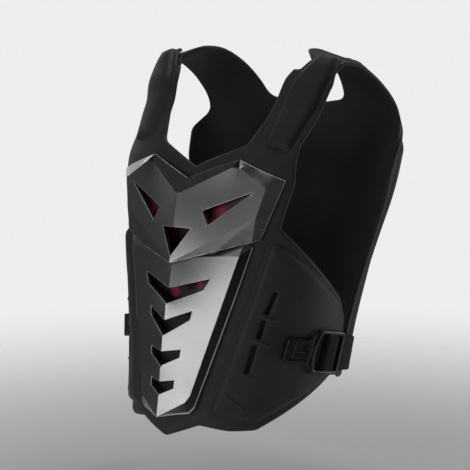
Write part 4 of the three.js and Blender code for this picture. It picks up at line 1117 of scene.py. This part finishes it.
def upper_plate():
    at = {key: corner_place(row, UPPER_HALF, UPPER_TOP, UPPER_RUN) for key, row in UPPER_CORNERS.items()}
    top_rim = rim_line(at["notch"], at["peak"])
    shoulder_rim = rim_line(at["peak"], at["shoulder"])
    side_rim = rim_line(at["shoulder"], at["lower_side"])
    low = [straight_line(at[p], at[q]) for p, q in
           (("lower_side", "lower_edge"), ("lower_edge", "lower_middle"), ("lower_middle", "tip"))]
    creases = [straight_line(at[p], at[q]) for p, q in (
        ("ridge_top", "peak_inner"), ("peak", "peak_inner"), ("peak", "peak_outer"),
        ("peak_inner", "peak_outer"), ("peak_outer", "shoulder_inner"), ("shoulder", "shoulder_inner"),
        ("shoulder_inner", "side_inner"), ("lower_side", "side_inner"), ("side_inner", "tip"),
        ("lower_edge", "side_inner"), ("lower_middle", "side_inner"),
        ("notch", "ridge_top"), ("ridge_top", "ridge_middle"), ("ridge_middle", "tip"))]
    rim = np.concatenate([top_rim, shoulder_rim[1:], side_rim[1:], low[0][1:], low[1][1:], low[2][1:]])
    vent = vent_outline(SIDE_VENT, [VENT_RISE["side"]] * 3, UPPER_HALF, UPPER_TOP, UPPER_RUN)
    nose = vent_outline(MIDDLE_VENT, [VENT_RISE["middle"]] * 3, UPPER_HALF, UPPER_TOP, UPPER_RUN)
    flip = np.array([-1, 1])
    nose = np.concatenate([nose, nose[1:2] * flip])
    lines = [top_rim, shoulder_rim, side_rim] + low + creases
    vents = [vent, vent * flip, nose]
    piece = plate("upper_plate_shell", lines, rim[:, [0, 2]], vents, "upper_chest_plate")
    peak, inner, outer = place_3d(np.array([at["peak"], at["peak_inner"], at["peak_outer"]]))
    # painted shade on the facet between the peak and its inner and outer corners, full from PEAK_FADE
    # outwards
    painted(piece, "painted_shade_band", np.array([peak, inner]), np.array([outer, outer]), PEAK_FADE)


def lower_plate():
    at = {key: corner_place(row, LOWER_HALF, LOWER_TOP, LOWER_RUN) for key, row in LOWER_CORNERS.items()}
    ridge_places = np.array([corner_place((0, down, rise), LOWER_HALF, LOWER_TOP, LOWER_RUN)
                             for down, rise in RIDGE_LINE])
    ridge = resampled(place_3d(ridge_places), 3.0, closed=False)
    rim_side = rim_line(at["rim_top"], at["rim_end"])
    rim_turn = straight_line(at["rim_end"], at["rim_turn"])
    bottom = straight_line(at["rim_turn"], ridge_places[-1])
    top = straight_line(ridge_places[0], at["tuck"])
    tuck = straight_line(at["tuck"], at["rim_top"])
    creases = [straight_line(at[p], at[q]) for p, q in (
        ("crease_top", "crease_end"), ("crease_end", "crease_turn"), ("crease_end", "rim_end"),
        ("crease_turn", "rim_turn"), ("crease_top", "rim_top"), ("crease_top", "tuck"))]
    creases.append(straight_line(at["crease_turn"], ridge_places[-1]))
    creases.append(straight_line(ridge_places[0], at["crease_top"]))
    rim = np.concatenate([top, tuck[1:], rim_side[1:], rim_turn[1:], bottom[1:]])
    vents = []
    for top_down, tip_across, tip_down, low_across, low_down, end_down in CHEVRONS:
        rows = [(0, top_down), (tip_across, tip_down), (low_across, low_down), (0, end_down)]
        rises = [VENT_RISE["centre"], VENT_RISE["tip"], VENT_RISE["tip"], VENT_RISE["centre"]]
        half = vent_outline(rows, rises, LOWER_HALF, LOWER_TOP, LOWER_RUN)
        vents.append(np.concatenate([half, half[2:0:-1] * np.array([-1, 1])]))
    high, end, turn, tip = place_3d(np.array([at["crease_top"], at["crease_end"], at["crease_turn"],
                                              ridge_places[-1]]))
    lips = [lip_line(rim_side, high, end), lip_line(rim_turn, end, turn), lip_line(bottom, turn, tip)]
    lines = [ridge, rim_side, rim_turn, bottom, top, tuck] + creases + lips
    piece = plate("lower_plate_shell", lines, rim[:, [0, 2]], vents, "lower_chest_plate")
    edge = np.concatenate([rim_side, rim_turn[1:], bottom[1:]])
    lip = np.concatenate([lips[0], lips[1][1:], lips[2][1:]])
    # painted highlight on the strip along the rim
    painted(piece, "painted_highlight", edge, lip, 1.0)
    # painted shade on the bevel band between the lip and the crease
    painted(piece, "painted_shade_band", lip, np.array([high, end, turn, tip]), float(edge[-len(bottom), 0]))


def lit_shares(points):
    """How far the lining's cloth is painted lit red rather than near black as painted shade, at each flat
    point.
    """
    total = np.zeros(len(points))
    for across, down, reach, strength in LIT_PLACES:
        middle = np.array([across * UPPER_HALF, -(UPPER_TOP + down * UPPER_RUN)])
        total += strength * np.exp(-((points - middle) ** 2).sum(1) / reach**2)
    uneven = 0.25 * wave_noise(points[:, 0], points[:, 1], 9, 5)
    return np.clip(total * (1 + uneven), 0, 1)


def vent_lining():
    corners = [(a * UPPER_HALF, -(UPPER_TOP + d * UPPER_RUN), r) for a, d, r in LINING_OUTLINE]
    outline = turned_left(rounded(mirrored_half(corners)))
    points, triangles = pressed(outline, [], [], LINING_STEP, {"edge": [1.5], "hole": []})
    low = FOAM_EDGE + SEAT_GAP
    wrinkle = wave_noise(points[:, 0], points[:, 1], WRINKLE_SIZE, 11) * WRINKLE_HALF + WRINKLE_MIDDLE
    x, y = outline[:, 0], outline[:, 1]
    area = 0.5 * abs(np.sum(x * np.roll(y, -1) - np.roll(x, -1) * y)) * MM * MM
    vertices, faces, uv = closed_sheet(
        points, triangles, low + LINING_THICK + wrinkle, low + wrinkle * 0.5,
        lambda flat, lift: lifted(flat[:, 0], -flat[:, 1], lift, 1))
    piece = make_object("red_lining_cloth", vertices, faces, uv, LINING)
    # painted light and shade: red where lit, near black where shaded
    shares = piece.data.attributes.new("lit_share", "FLOAT", "POINT")
    shares.data.foreach_set("value", lit_shares(uv))
    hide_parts("red_vent_lining")


# Buckles. u runs towards the back along the strap, v up and z out.
FRAME_ROUND = 1.5
BAR_ROUND = 1.0
TONGUE_ROUND = 0.6
TONGUE_HALF_THICK = 1.5
SOCKET_ROUND = 1.6
SOCKET_WALL = 2.4
SOCKET_STEP = 0.9
FRAME_STEP = 1.6
BAR_STEP = 2.4
MOULDED_SHARP = 45
SOCKET_WAIST = 12  # how far from the mouth the flare starts
RECESS_ENDS = (7, 31)
RECESS_DEPTH = 2.0
RECESS_EDGE = 0.9
RECESS_RIM = 4
RAMP_START = 20
RAMP_RUN = 9
RAMP_RISE = 1.7
RAMP_MIDDLE = 4
RIB_PLACES = (-8.0, -4.5, -1.0)
RIB_RISE = 0.7
RIB_HALF = 0.6
CROSS_RIB_PLACE = 11.0
CROSS_RIB_RISE = 0.8
CROSS_RIB_HALF = 0.7


def buckle_place(side):
    def place(flat, lift):
        cos, sin = math.cos(-side * STRAP_TILT), math.sin(-side * STRAP_TILT)
        u, v = flat[:, 0] * side, flat[:, 1]
        x, y = u * cos - v * sin, u * sin + v * cos
        return lifted(side * BUCKLE_ACROSS + x, BUCKLE_DOWN - y, lift, 1)
    return place


def box_corners(u_low, u_high, v_half, round_size):
    return [(u_low, v_half, round_size), (u_high, v_half, round_size), (u_high, -v_half, round_size),
            (u_low, -v_half, round_size)]


def moulded(outline, holes, low, high, edge_round, step, place, relief=None):
    """A moulded plastic piece with rounded edges, as a closed mesh."""
    bands = {"edge": [edge_round * share for share in (0.15, 0.45, 1)],
             "hole": [edge_round * share for share in (0.2, 1)]}
    points, triangles = pressed(outline, holes, [], step, bands, edge_step=step)
    distance = edge_distance(points, outline)[0]
    for hole in holes:
        distance = np.minimum(distance, edge_distance(points, hole)[0])
    t = np.clip(distance / edge_round, 0, 1)
    fall = edge_round * (1 - np.sqrt(np.maximum(0, 1 - (1 - t) ** 2)))
    top = high - fall
    if relief is not None:
        top = top + relief(points)
    return closed_sheet(points, triangles, top, low + fall * 0.5, place)


def merged(parts):
    vertices, faces, maps = [], [], []
    total = 0
    for part_vertices, part_faces, uv in parts:
        vertices.append(part_vertices)
        faces.extend(tuple(i + total for i in f) for f in part_faces)
        maps.append(uv)
        total += len(part_vertices)
    return np.concatenate(vertices), faces, np.concatenate(maps)


def buckle_object(name, parts, side, node):
    vertices, faces, uv = merged(parts)
    if side < 0:
        faces = [tuple(reversed(f)) for f in faces]
    piece = make_object(name, vertices, faces, uv, BUCKLE, MOULDED_SHARP)
    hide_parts(node)


def buckle_frame(side):
    word = "left" if side > 0 else "right"
    half_u = FRAME_WIDTH / 2
    window_v = WEBBING_WIDTH / 2 + PLASTIC_GAP
    outer = rounded(box_corners(-half_u, half_u, window_v + FRAME_BAR, 7) + [(-half_u - FRAME_BOW, 0, 40)])
    inner = rounded(box_corners(-half_u + FRAME_BAR, half_u - FRAME_BAR, window_v, 4)
                    + [(-half_u - FRAME_BOW + FRAME_BAR, 0, 40)])
    bar = rounded(box_corners(-BAR_HALF, BAR_HALF, window_v + FRAME_BAR / 2, 0.5))
    half_tongue = TONGUE_WIDTH / 2
    tongue = rounded([(-half_u - TONGUE_REACH, half_tongue, 2), (-half_u - 1, half_tongue, 0.5),
                      (-half_u - 1, -half_tongue, 0.5), (-half_u - TONGUE_REACH, -half_tongue, 2)])
    place = buckle_place(side)
    tongue_low, tongue_high = SOCKET_MIDDLE - TONGUE_HALF_THICK, SOCKET_MIDDLE + TONGUE_HALF_THICK
    parts = [
        moulded(outer, [inner], FRAME_LIFT, FRAME_LIFT + FRAME_THICK, FRAME_ROUND, FRAME_STEP, place),
        moulded(bar, [], FRAME_LIFT, FRAME_LIFT + BAR_THICK, BAR_ROUND, BAR_STEP, place),
        moulded(tongue, [], tongue_low, tongue_high, TONGUE_ROUND, BAR_STEP, place),
    ]
    buckle_object(f"{word}_frame_moulding", parts, side, f"{word}_buckle_frame")


def socket_relief(points):
    """Recess with ribs and a ramp on the socket's face, and a raised rim round it."""
    u = points[:, 0] - (-FRAME_WIDTH / 2 - FRAME_BOW - PLASTIC_GAP - SOCKET_LENGTH)
    v = points[:, 1]
    start, end = RECESS_ENDS
    inside = smooth_step((u - start) / RECESS_EDGE) * smooth_step((end - u) / RECESS_EDGE)
    inside *= smooth_step((SOCKET_HEIGHT / 2 - RECESS_RIM - np.abs(v)) / RECESS_EDGE)
    ramp = smooth_step((u - RAMP_START) / RAMP_RUN) * (np.abs(v - RAMP_MIDDLE) < RAMP_MIDDLE)
    relief = RAMP_RISE * ramp - RECESS_DEPTH
    for line in RIB_PLACES:
        relief += RIB_RISE * np.exp(-(((v - line) / RIB_HALF) ** 2))
    relief += CROSS_RIB_RISE * np.exp(-(((u - CROSS_RIB_PLACE) / CROSS_RIB_HALF) ** 2))
    return relief * inside


def buckle_socket(side):
    word = "left" if side > 0 else "right"
    mouth = -FRAME_WIDTH / 2 - FRAME_BOW - PLASTIC_GAP
    waist, end = mouth - SOCKET_WAIST, mouth - SOCKET_LENGTH
    half = SOCKET_HEIGHT / 2
    body = rounded([(end, half, 3), (waist, half, 20), (mouth, half + MOUTH_FLARE, 2),
                    (mouth, -half - MOUTH_FLARE, 2), (waist, -half, 20), (end, -half, 3)])
    high = SOCKET_MIDDLE + TONGUE_HALF_THICK + PLASTIC_GAP + SOCKET_WALL
    part = moulded(body, [], FIELD_LIFT + SEAT_GAP, high, SOCKET_ROUND, SOCKET_STEP, buckle_place(side),
                   socket_relief)
    buckle_object(f"{word}_socket_moulding", [part], side, f"{word}_buckle_socket")


# The webbing's way round the frame's bar: side of the bar, then thicknesses beyond it and below the top.
WEBBING_LOOP = [
    (1, 2.50, 1.2), (1, 0.50, 0.0), (0, 0.0, 0.0), (-1, 0.25, 0.0), (-1, 1.75, 1.2), (-1, 1.85, 3.0),
]
STRAP_COLUMNS = 25
STRAP_SHARP = 50
STRAP_STEP = 1.6
STRAP_BACK_STEP = 6.0


def strap_line():
    """The webbing's side view in u and z, from the back wing round the frame's middle bar."""
    flat = STRAP_LIFT + WEBBING_THICK / 2
    over = FRAME_LIFT + BAR_THICK + PLASTIC_GAP + WEBBING_THICK / 2
    runs = GRIDS[1][int(BUCKLE_DOWN / GRID_STEP)]
    steps = np.linalg.norm(np.diff(runs[:, :2], axis=0), axis=1)
    girth_half = steps.sum() if steps[-1] > 0 else steps[steps > 1e-6].sum()
    end = girth_half - BACK_REACH * STRAP_EDGE_SHARE - BUCKLE_ACROSS + STRAP_ON_BACK
    line = [(end, flat), (FRAME_WIDTH / 2 - FRAME_BAR - PLASTIC_GAP, flat)]
    for sign, beyond, below in WEBBING_LOOP:
        line.append((sign * (BAR_HALF + beyond * WEBBING_THICK), over - below * WEBBING_THICK))
    return np.array(line)


def chaikin(line, rounds=2):
    for _ in range(rounds):
        made = [line[0]]
        for a, b in zip(line[:-1], line[1:]):
            made.extend((a * 0.75 + b * 0.25, a * 0.25 + b * 0.75))
        made.append(line[-1])
        line = np.array(made)
    return line


def strap_faces(across, count):
    """Faces of a strap whose points lie in two layers of rows, each row across by count along."""
    faces = []

    def at(layer, n, m):
        return (layer * across + n) * count + m

    for n in range(across - 1):
        for m in range(count - 1):
            faces.append((at(0, n, m), at(0, n, m + 1), at(0, n + 1, m + 1), at(0, n + 1, m)))
            faces.append((at(1, n, m), at(1, n + 1, m), at(1, n + 1, m + 1), at(1, n, m + 1)))
        for m in (0, count - 1):
            faces.append((at(0, n, m), at(0, n + 1, m), at(1, n + 1, m), at(1, n, m)))
    for m in range(count - 1):
        for n in (0, across - 1):
            faces.append((at(0, n, m), at(1, n, m), at(1, n, m + 1), at(0, n, m + 1)))
    return faces


def side_webbing(side):
    word = "left" if side > 0 else "right"
    line = strap_line()
    corner = np.concatenate([resampled(line[:2], STRAP_BACK_STEP, closed=False), line[2:]])
    line = resampled(chaikin(corner), STRAP_STEP, closed=False)
    along = np.gradient(line, axis=0)
    along /= np.linalg.norm(along, axis=1, keepdims=True)
    out = np.stack([-along[:, 1], along[:, 0]], 1)
    if out[0, 1] < 0:
        out = -out
    length = np.concatenate([[0], np.cumsum(np.linalg.norm(np.diff(line, axis=0), axis=1))])
    widths = np.linspace(-0.5, 0.5, STRAP_COLUMNS)
    edge = np.sqrt(np.maximum(0.12, 1 - (np.abs(widths) * 2) ** 24))
    place = buckle_place(side)
    rows = []
    uv = []
    for sign in (1, -1):
        for n, share in enumerate(widths):
            offset = line + out * (sign * WEBBING_THICK / 2 * edge[n])
            v = np.full(len(line), share * WEBBING_WIDTH)
            rows.append(place(np.stack([offset[:, 0], v], 1), offset[:, 1]))
            uv.append(np.stack([length, v], 1))
    faces = strap_faces(STRAP_COLUMNS, len(line))
    vertices = np.concatenate(rows)
    piece = make_object(f"{word}_strap", vertices, faces, np.concatenate(uv), WEBBING, STRAP_SHARP)
    outward_faces(piece)
    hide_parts(f"{word}_side_webbing")


def stitch_tree():
    """Geometry Nodes that put one small rounded stitch on each point, turned as its attribute turn says."""
    tree = bpy.data.node_groups.new("stitches", "GeometryNodeTree")
    face = tree.interface
    face.new_socket("Geometry", in_out="INPUT", socket_type="NodeSocketGeometry")
    length = face.new_socket("Length", in_out="INPUT", socket_type="NodeSocketFloat")
    thickness = face.new_socket("Thickness", in_out="INPUT", socket_type="NodeSocketFloat")
    thread = face.new_socket("Thread", in_out="INPUT", socket_type="NodeSocketMaterial")
    face.new_socket("Geometry", in_out="OUTPUT", socket_type="NodeSocketGeometry")
    given = tree.nodes.new("NodeGroupInput")
    made = tree.nodes.new("NodeGroupOutput")
    size = tree.nodes.new("ShaderNodeCombineXYZ")
    ball = add_node(tree, "GeometryNodeMeshUVSphere", Segments=8, Rings=6, Radius=0.5)
    turn = add_node(tree, "GeometryNodeInputNamedAttribute", data_type="FLOAT_VECTOR", Name="turn")
    points = tree.nodes.new("GeometryNodeMeshToPoints")
    put = tree.nodes.new("GeometryNodeInstanceOnPoints")
    whole = tree.nodes.new("GeometryNodeRealizeInstances")
    paint = tree.nodes.new("GeometryNodeSetMaterial")
    for source, output, target, socket in (
            (given, "Geometry", points, "Mesh"), (given, "Length", size, "X"),
            (given, "Thickness", size, "Y"), (given, "Thickness", size, "Z"),
            (points, "Points", put, "Points"), (ball, "Mesh", put, "Instance"),
            (turn, "Attribute", put, "Rotation"), (size, "Vector", put, "Scale"),
            (put, "Instances", whole, "Geometry"), (whole, "Geometry", paint, "Geometry"),
            (given, "Thread", paint, "Material"), (paint, "Geometry", made, "Geometry")):
        tree.links.new(source.outputs[output], target.inputs[socket])
    return tree, length.identifier, thickness.identifier, thread.identifier


STITCHES = stitch_tree()


def stitch_row(start, end):
    """Places and directions of the stitches of one flat row."""
    start, end = np.array(start, float), np.array(end, float)
    count = max(2, round(np.linalg.norm(end - start) / STITCH_SPACING))
    t = (np.arange(count) + 0.5)[:, None] / count
    return [(start + (end - start) * s, (end - start) / np.linalg.norm(end - start)) for s in t]


def stitched(name, rows, place, lift):
    """A piece of stitches along flat rows, laid on a surface at one lift."""
    middle = np.array([p for row in rows for p, _ in row])
    along = np.array([d for row in rows for _, d in row])
    lifts = np.full(len(middle), lift)
    here, ahead = place(middle, lifts), place(middle + along * 0.5, lifts)
    above = place(middle, lifts + 0.5)
    mesh = bpy.data.meshes.new(name)
    mesh.from_pydata((here * MM).tolist(), [], [])
    turns = mesh.attributes.new("turn", "FLOAT_VECTOR", "POINT")
    for n in range(len(here)):
        x_axis = Vector(ahead[n] - here[n]).normalized()
        z_axis = Vector(above[n] - here[n]).normalized()
        y_axis = z_axis.cross(x_axis).normalized()
        z_axis = x_axis.cross(y_axis)
        turns.data[n].vector = Matrix((x_axis, y_axis, z_axis)).transposed().to_euler()
    piece = bpy.data.objects.new(name, mesh)
    bpy.context.scene.collection.objects.link(piece)
    tree, length, thickness, thread = STITCHES
    nodes = piece.modifiers.new("stitches", "NODES")
    nodes.node_group = tree
    nodes[length] = STITCH_LENGTH * MM
    nodes[thickness] = STITCH_THICK * MM
    nodes[thread] = WEBBING
    settle(piece)
    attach(piece, "root")


def strap_stitches(side):
    """A box with a cross in it, where the strap is sewn to the back panel's wing."""
    word = "left" if side > 0 else "right"
    end = strap_line()[0, 0]
    u_far, u_near = end - STITCH_INSET, end - STRAP_ON_BACK + STITCH_INSET
    v = WEBBING_WIDTH / 2 - STITCH_INSET
    corners = [(u_near, v), (u_far, v), (u_far, -v), (u_near, -v)]
    rows = [stitch_row(corners[n], corners[(n + 1) % 4]) for n in range(4)]
    rows += [stitch_row(corners[0], corners[2]), stitch_row(corners[1], corners[3])]
    stitched(f"{word}_strap_stitches", rows, buckle_place(side), STRAP_LIFT + WEBBING_THICK)


def outward_faces(piece):
    work = bmesh.new()
    work.from_mesh(piece.data)
    bmesh.ops.recalc_face_normals(work, faces=work.faces)
    work.to_mesh(piece.data)
    work.free()


# Stage, in metres and degrees.
FLOOR_LEVEL = -0.62
FLOOR_PLAIN = 0.3  # how far from the middle the floor starts to fade
FLOOR_RADIUS = 1.5
CAMERA_AZIMUTH = 38
CAMERA_ELEVATION = 8
CAMERA_DISTANCE = 2.4
CAMERA_AIM = Vector((0.020, -0.075, -0.250))
PICTURE_WIDTH = 0.470 / 0.73  # what the picture shows across at the aim
SENSOR_WIDTH = 36
DIM_LIGHT = 0.03
BACKGROUND_LIGHT = 0.85
LIGHT_AIM = Vector((0.0, -0.1, -0.27))
# Columns: name, azimuth, elevation, distance, size, brightness.
LIGHTS = [
    ("low_front", -3, -1, 1.8, (1.0, 0.5), 2.4),
    ("low_left", -36, -1, 1.9, (0.7, 0.5), 0.8),
    ("low_right", 35, -1, 1.9, (0.7, 0.5), 0.8),
    ("front_top", -10, 38, 2.1, (1.6, 1.3), 0.4),
    ("left_side", -98, 14, 2.2, (1.4, 1.2), 0.8),
    ("left_back", -125, 22, 2.1, (1.0, 1.0), 1.6),
    ("right_back", 140, -7, 2.1, (0.6, 0.8), 4.0),
    ("overhead", 175, 72, 2.3, (1.5, 1.5), 2.2),
    ("behind", 160, 35, 2.4, (1.2, 1.0), 1.0),
]


def direction(azimuth, elevation):
    a, e = math.radians(azimuth), math.radians(elevation)
    return Vector((math.sin(a) * math.cos(e), -math.cos(a) * math.cos(e), math.sin(e)))


def area_light(name, azimuth, elevation, distance, size, brightness):
    """A soft box that looks at the chest. brightness is that of its face."""
    data = bpy.data.lights.new(name, "AREA")
    data.shape = "RECTANGLE"
    data.size, data.size_y = size
    data.energy = brightness * math.pi * size[0] * size[1]
    light = bpy.data.objects.new(name, data)
    light.location = LIGHT_AIM + direction(azimuth, elevation) * distance
    light.rotation_euler = (LIGHT_AIM - light.location).to_track_quat("-Z", "Y").to_euler()
    bpy.context.scene.collection.objects.link(light)


def floor_material():
    """Pale paper that fades into the background with the distance from the middle."""
    material, tree, shader = new_material("stage_floor")
    link = tree.links.new
    set_inputs(shader, Base_Color=(0.86, 0.86, 0.865, 1), Roughness=0.9, Specular_IOR_Level=0.1)
    coordinates = add_node(tree, "ShaderNodeTexCoord")
    reach = add_node(tree, "ShaderNodeVectorMath", operation="LENGTH")
    link(coordinates.outputs["Object"], reach.inputs[0])
    fade = add_node(tree, "ShaderNodeMapRange", interpolation_type="SMOOTHSTEP",
                    From_Min=FLOOR_PLAIN, From_Max=FLOOR_RADIUS, To_Min=1.0, To_Max=0.0)
    link(reach.outputs["Value"], fade.inputs["Value"])
    link(fade.outputs["Result"], shader.inputs["Alpha"])
    return material


def stage_floor():
    """A pale round floor under the vest."""
    turn = np.linspace(0, 2 * math.pi, 64, endpoint=False)
    vertices = [(FLOOR_RADIUS * math.cos(t), FLOOR_RADIUS * math.sin(t), 0.0) for t in turn]
    mesh = bpy.data.meshes.new("floor")
    mesh.from_pydata(vertices, [], [tuple(range(len(vertices)))])
    mesh.materials.append(floor_material())
    floor = bpy.data.objects.new("floor", mesh)
    floor.location = (0.0, 0.0, FLOOR_LEVEL)
    bpy.context.scene.collection.objects.link(floor)


def stage_camera():
    towards = direction(CAMERA_AZIMUTH, CAMERA_ELEVATION)
    data = bpy.data.cameras.new("camera")
    data.sensor_width = SENSOR_WIDTH
    data.sensor_fit = "HORIZONTAL"
    data.lens = CAMERA_DISTANCE / PICTURE_WIDTH * SENSOR_WIDTH
    camera = bpy.data.objects.new("camera", data)
    camera.location = CAMERA_AIM + towards * CAMERA_DISTANCE
    camera.rotation_euler = (-towards).to_track_quat("-Z", "Y").to_euler()
    bpy.context.scene.collection.objects.link(camera)
    bpy.context.scene.camera = camera


def stage_lights():
    for name, azimuth, elevation, distance, size, brightness in LIGHTS:
        area_light(name, azimuth, elevation, distance, size, brightness)


def stage_world():
    """Dim light from all around, and a pale background where the camera sees past the floor."""
    world = bpy.data.worlds.new("studio")
    world.use_nodes = True
    tree = world.node_tree
    background = tree.nodes["Background"]
    set_inputs(background, Color=(1, 1, 1, 1))
    path = add_node(tree, "ShaderNodeLightPath")
    strength = add_node(tree, "ShaderNodeMapRange", To_Min=DIM_LIGHT, To_Max=BACKGROUND_LIGHT)
    tree.links.new(path.outputs["Is Camera Ray"], strength.inputs["Value"])
    tree.links.new(strength.outputs["Result"], background.inputs["Strength"])
    bpy.context.scene.world = world
    bpy.context.scene.view_settings.view_transform = "Standard"


chest_panel()
back_panel()
vent_lining()
upper_plate()
lower_plate()
for side in (1, -1):
    buckle_socket(side)
    buckle_frame(side)
    side_webbing(side)
    strap_stitches(side)
stage_floor()
stage_camera()
stage_lights()
stage_world()
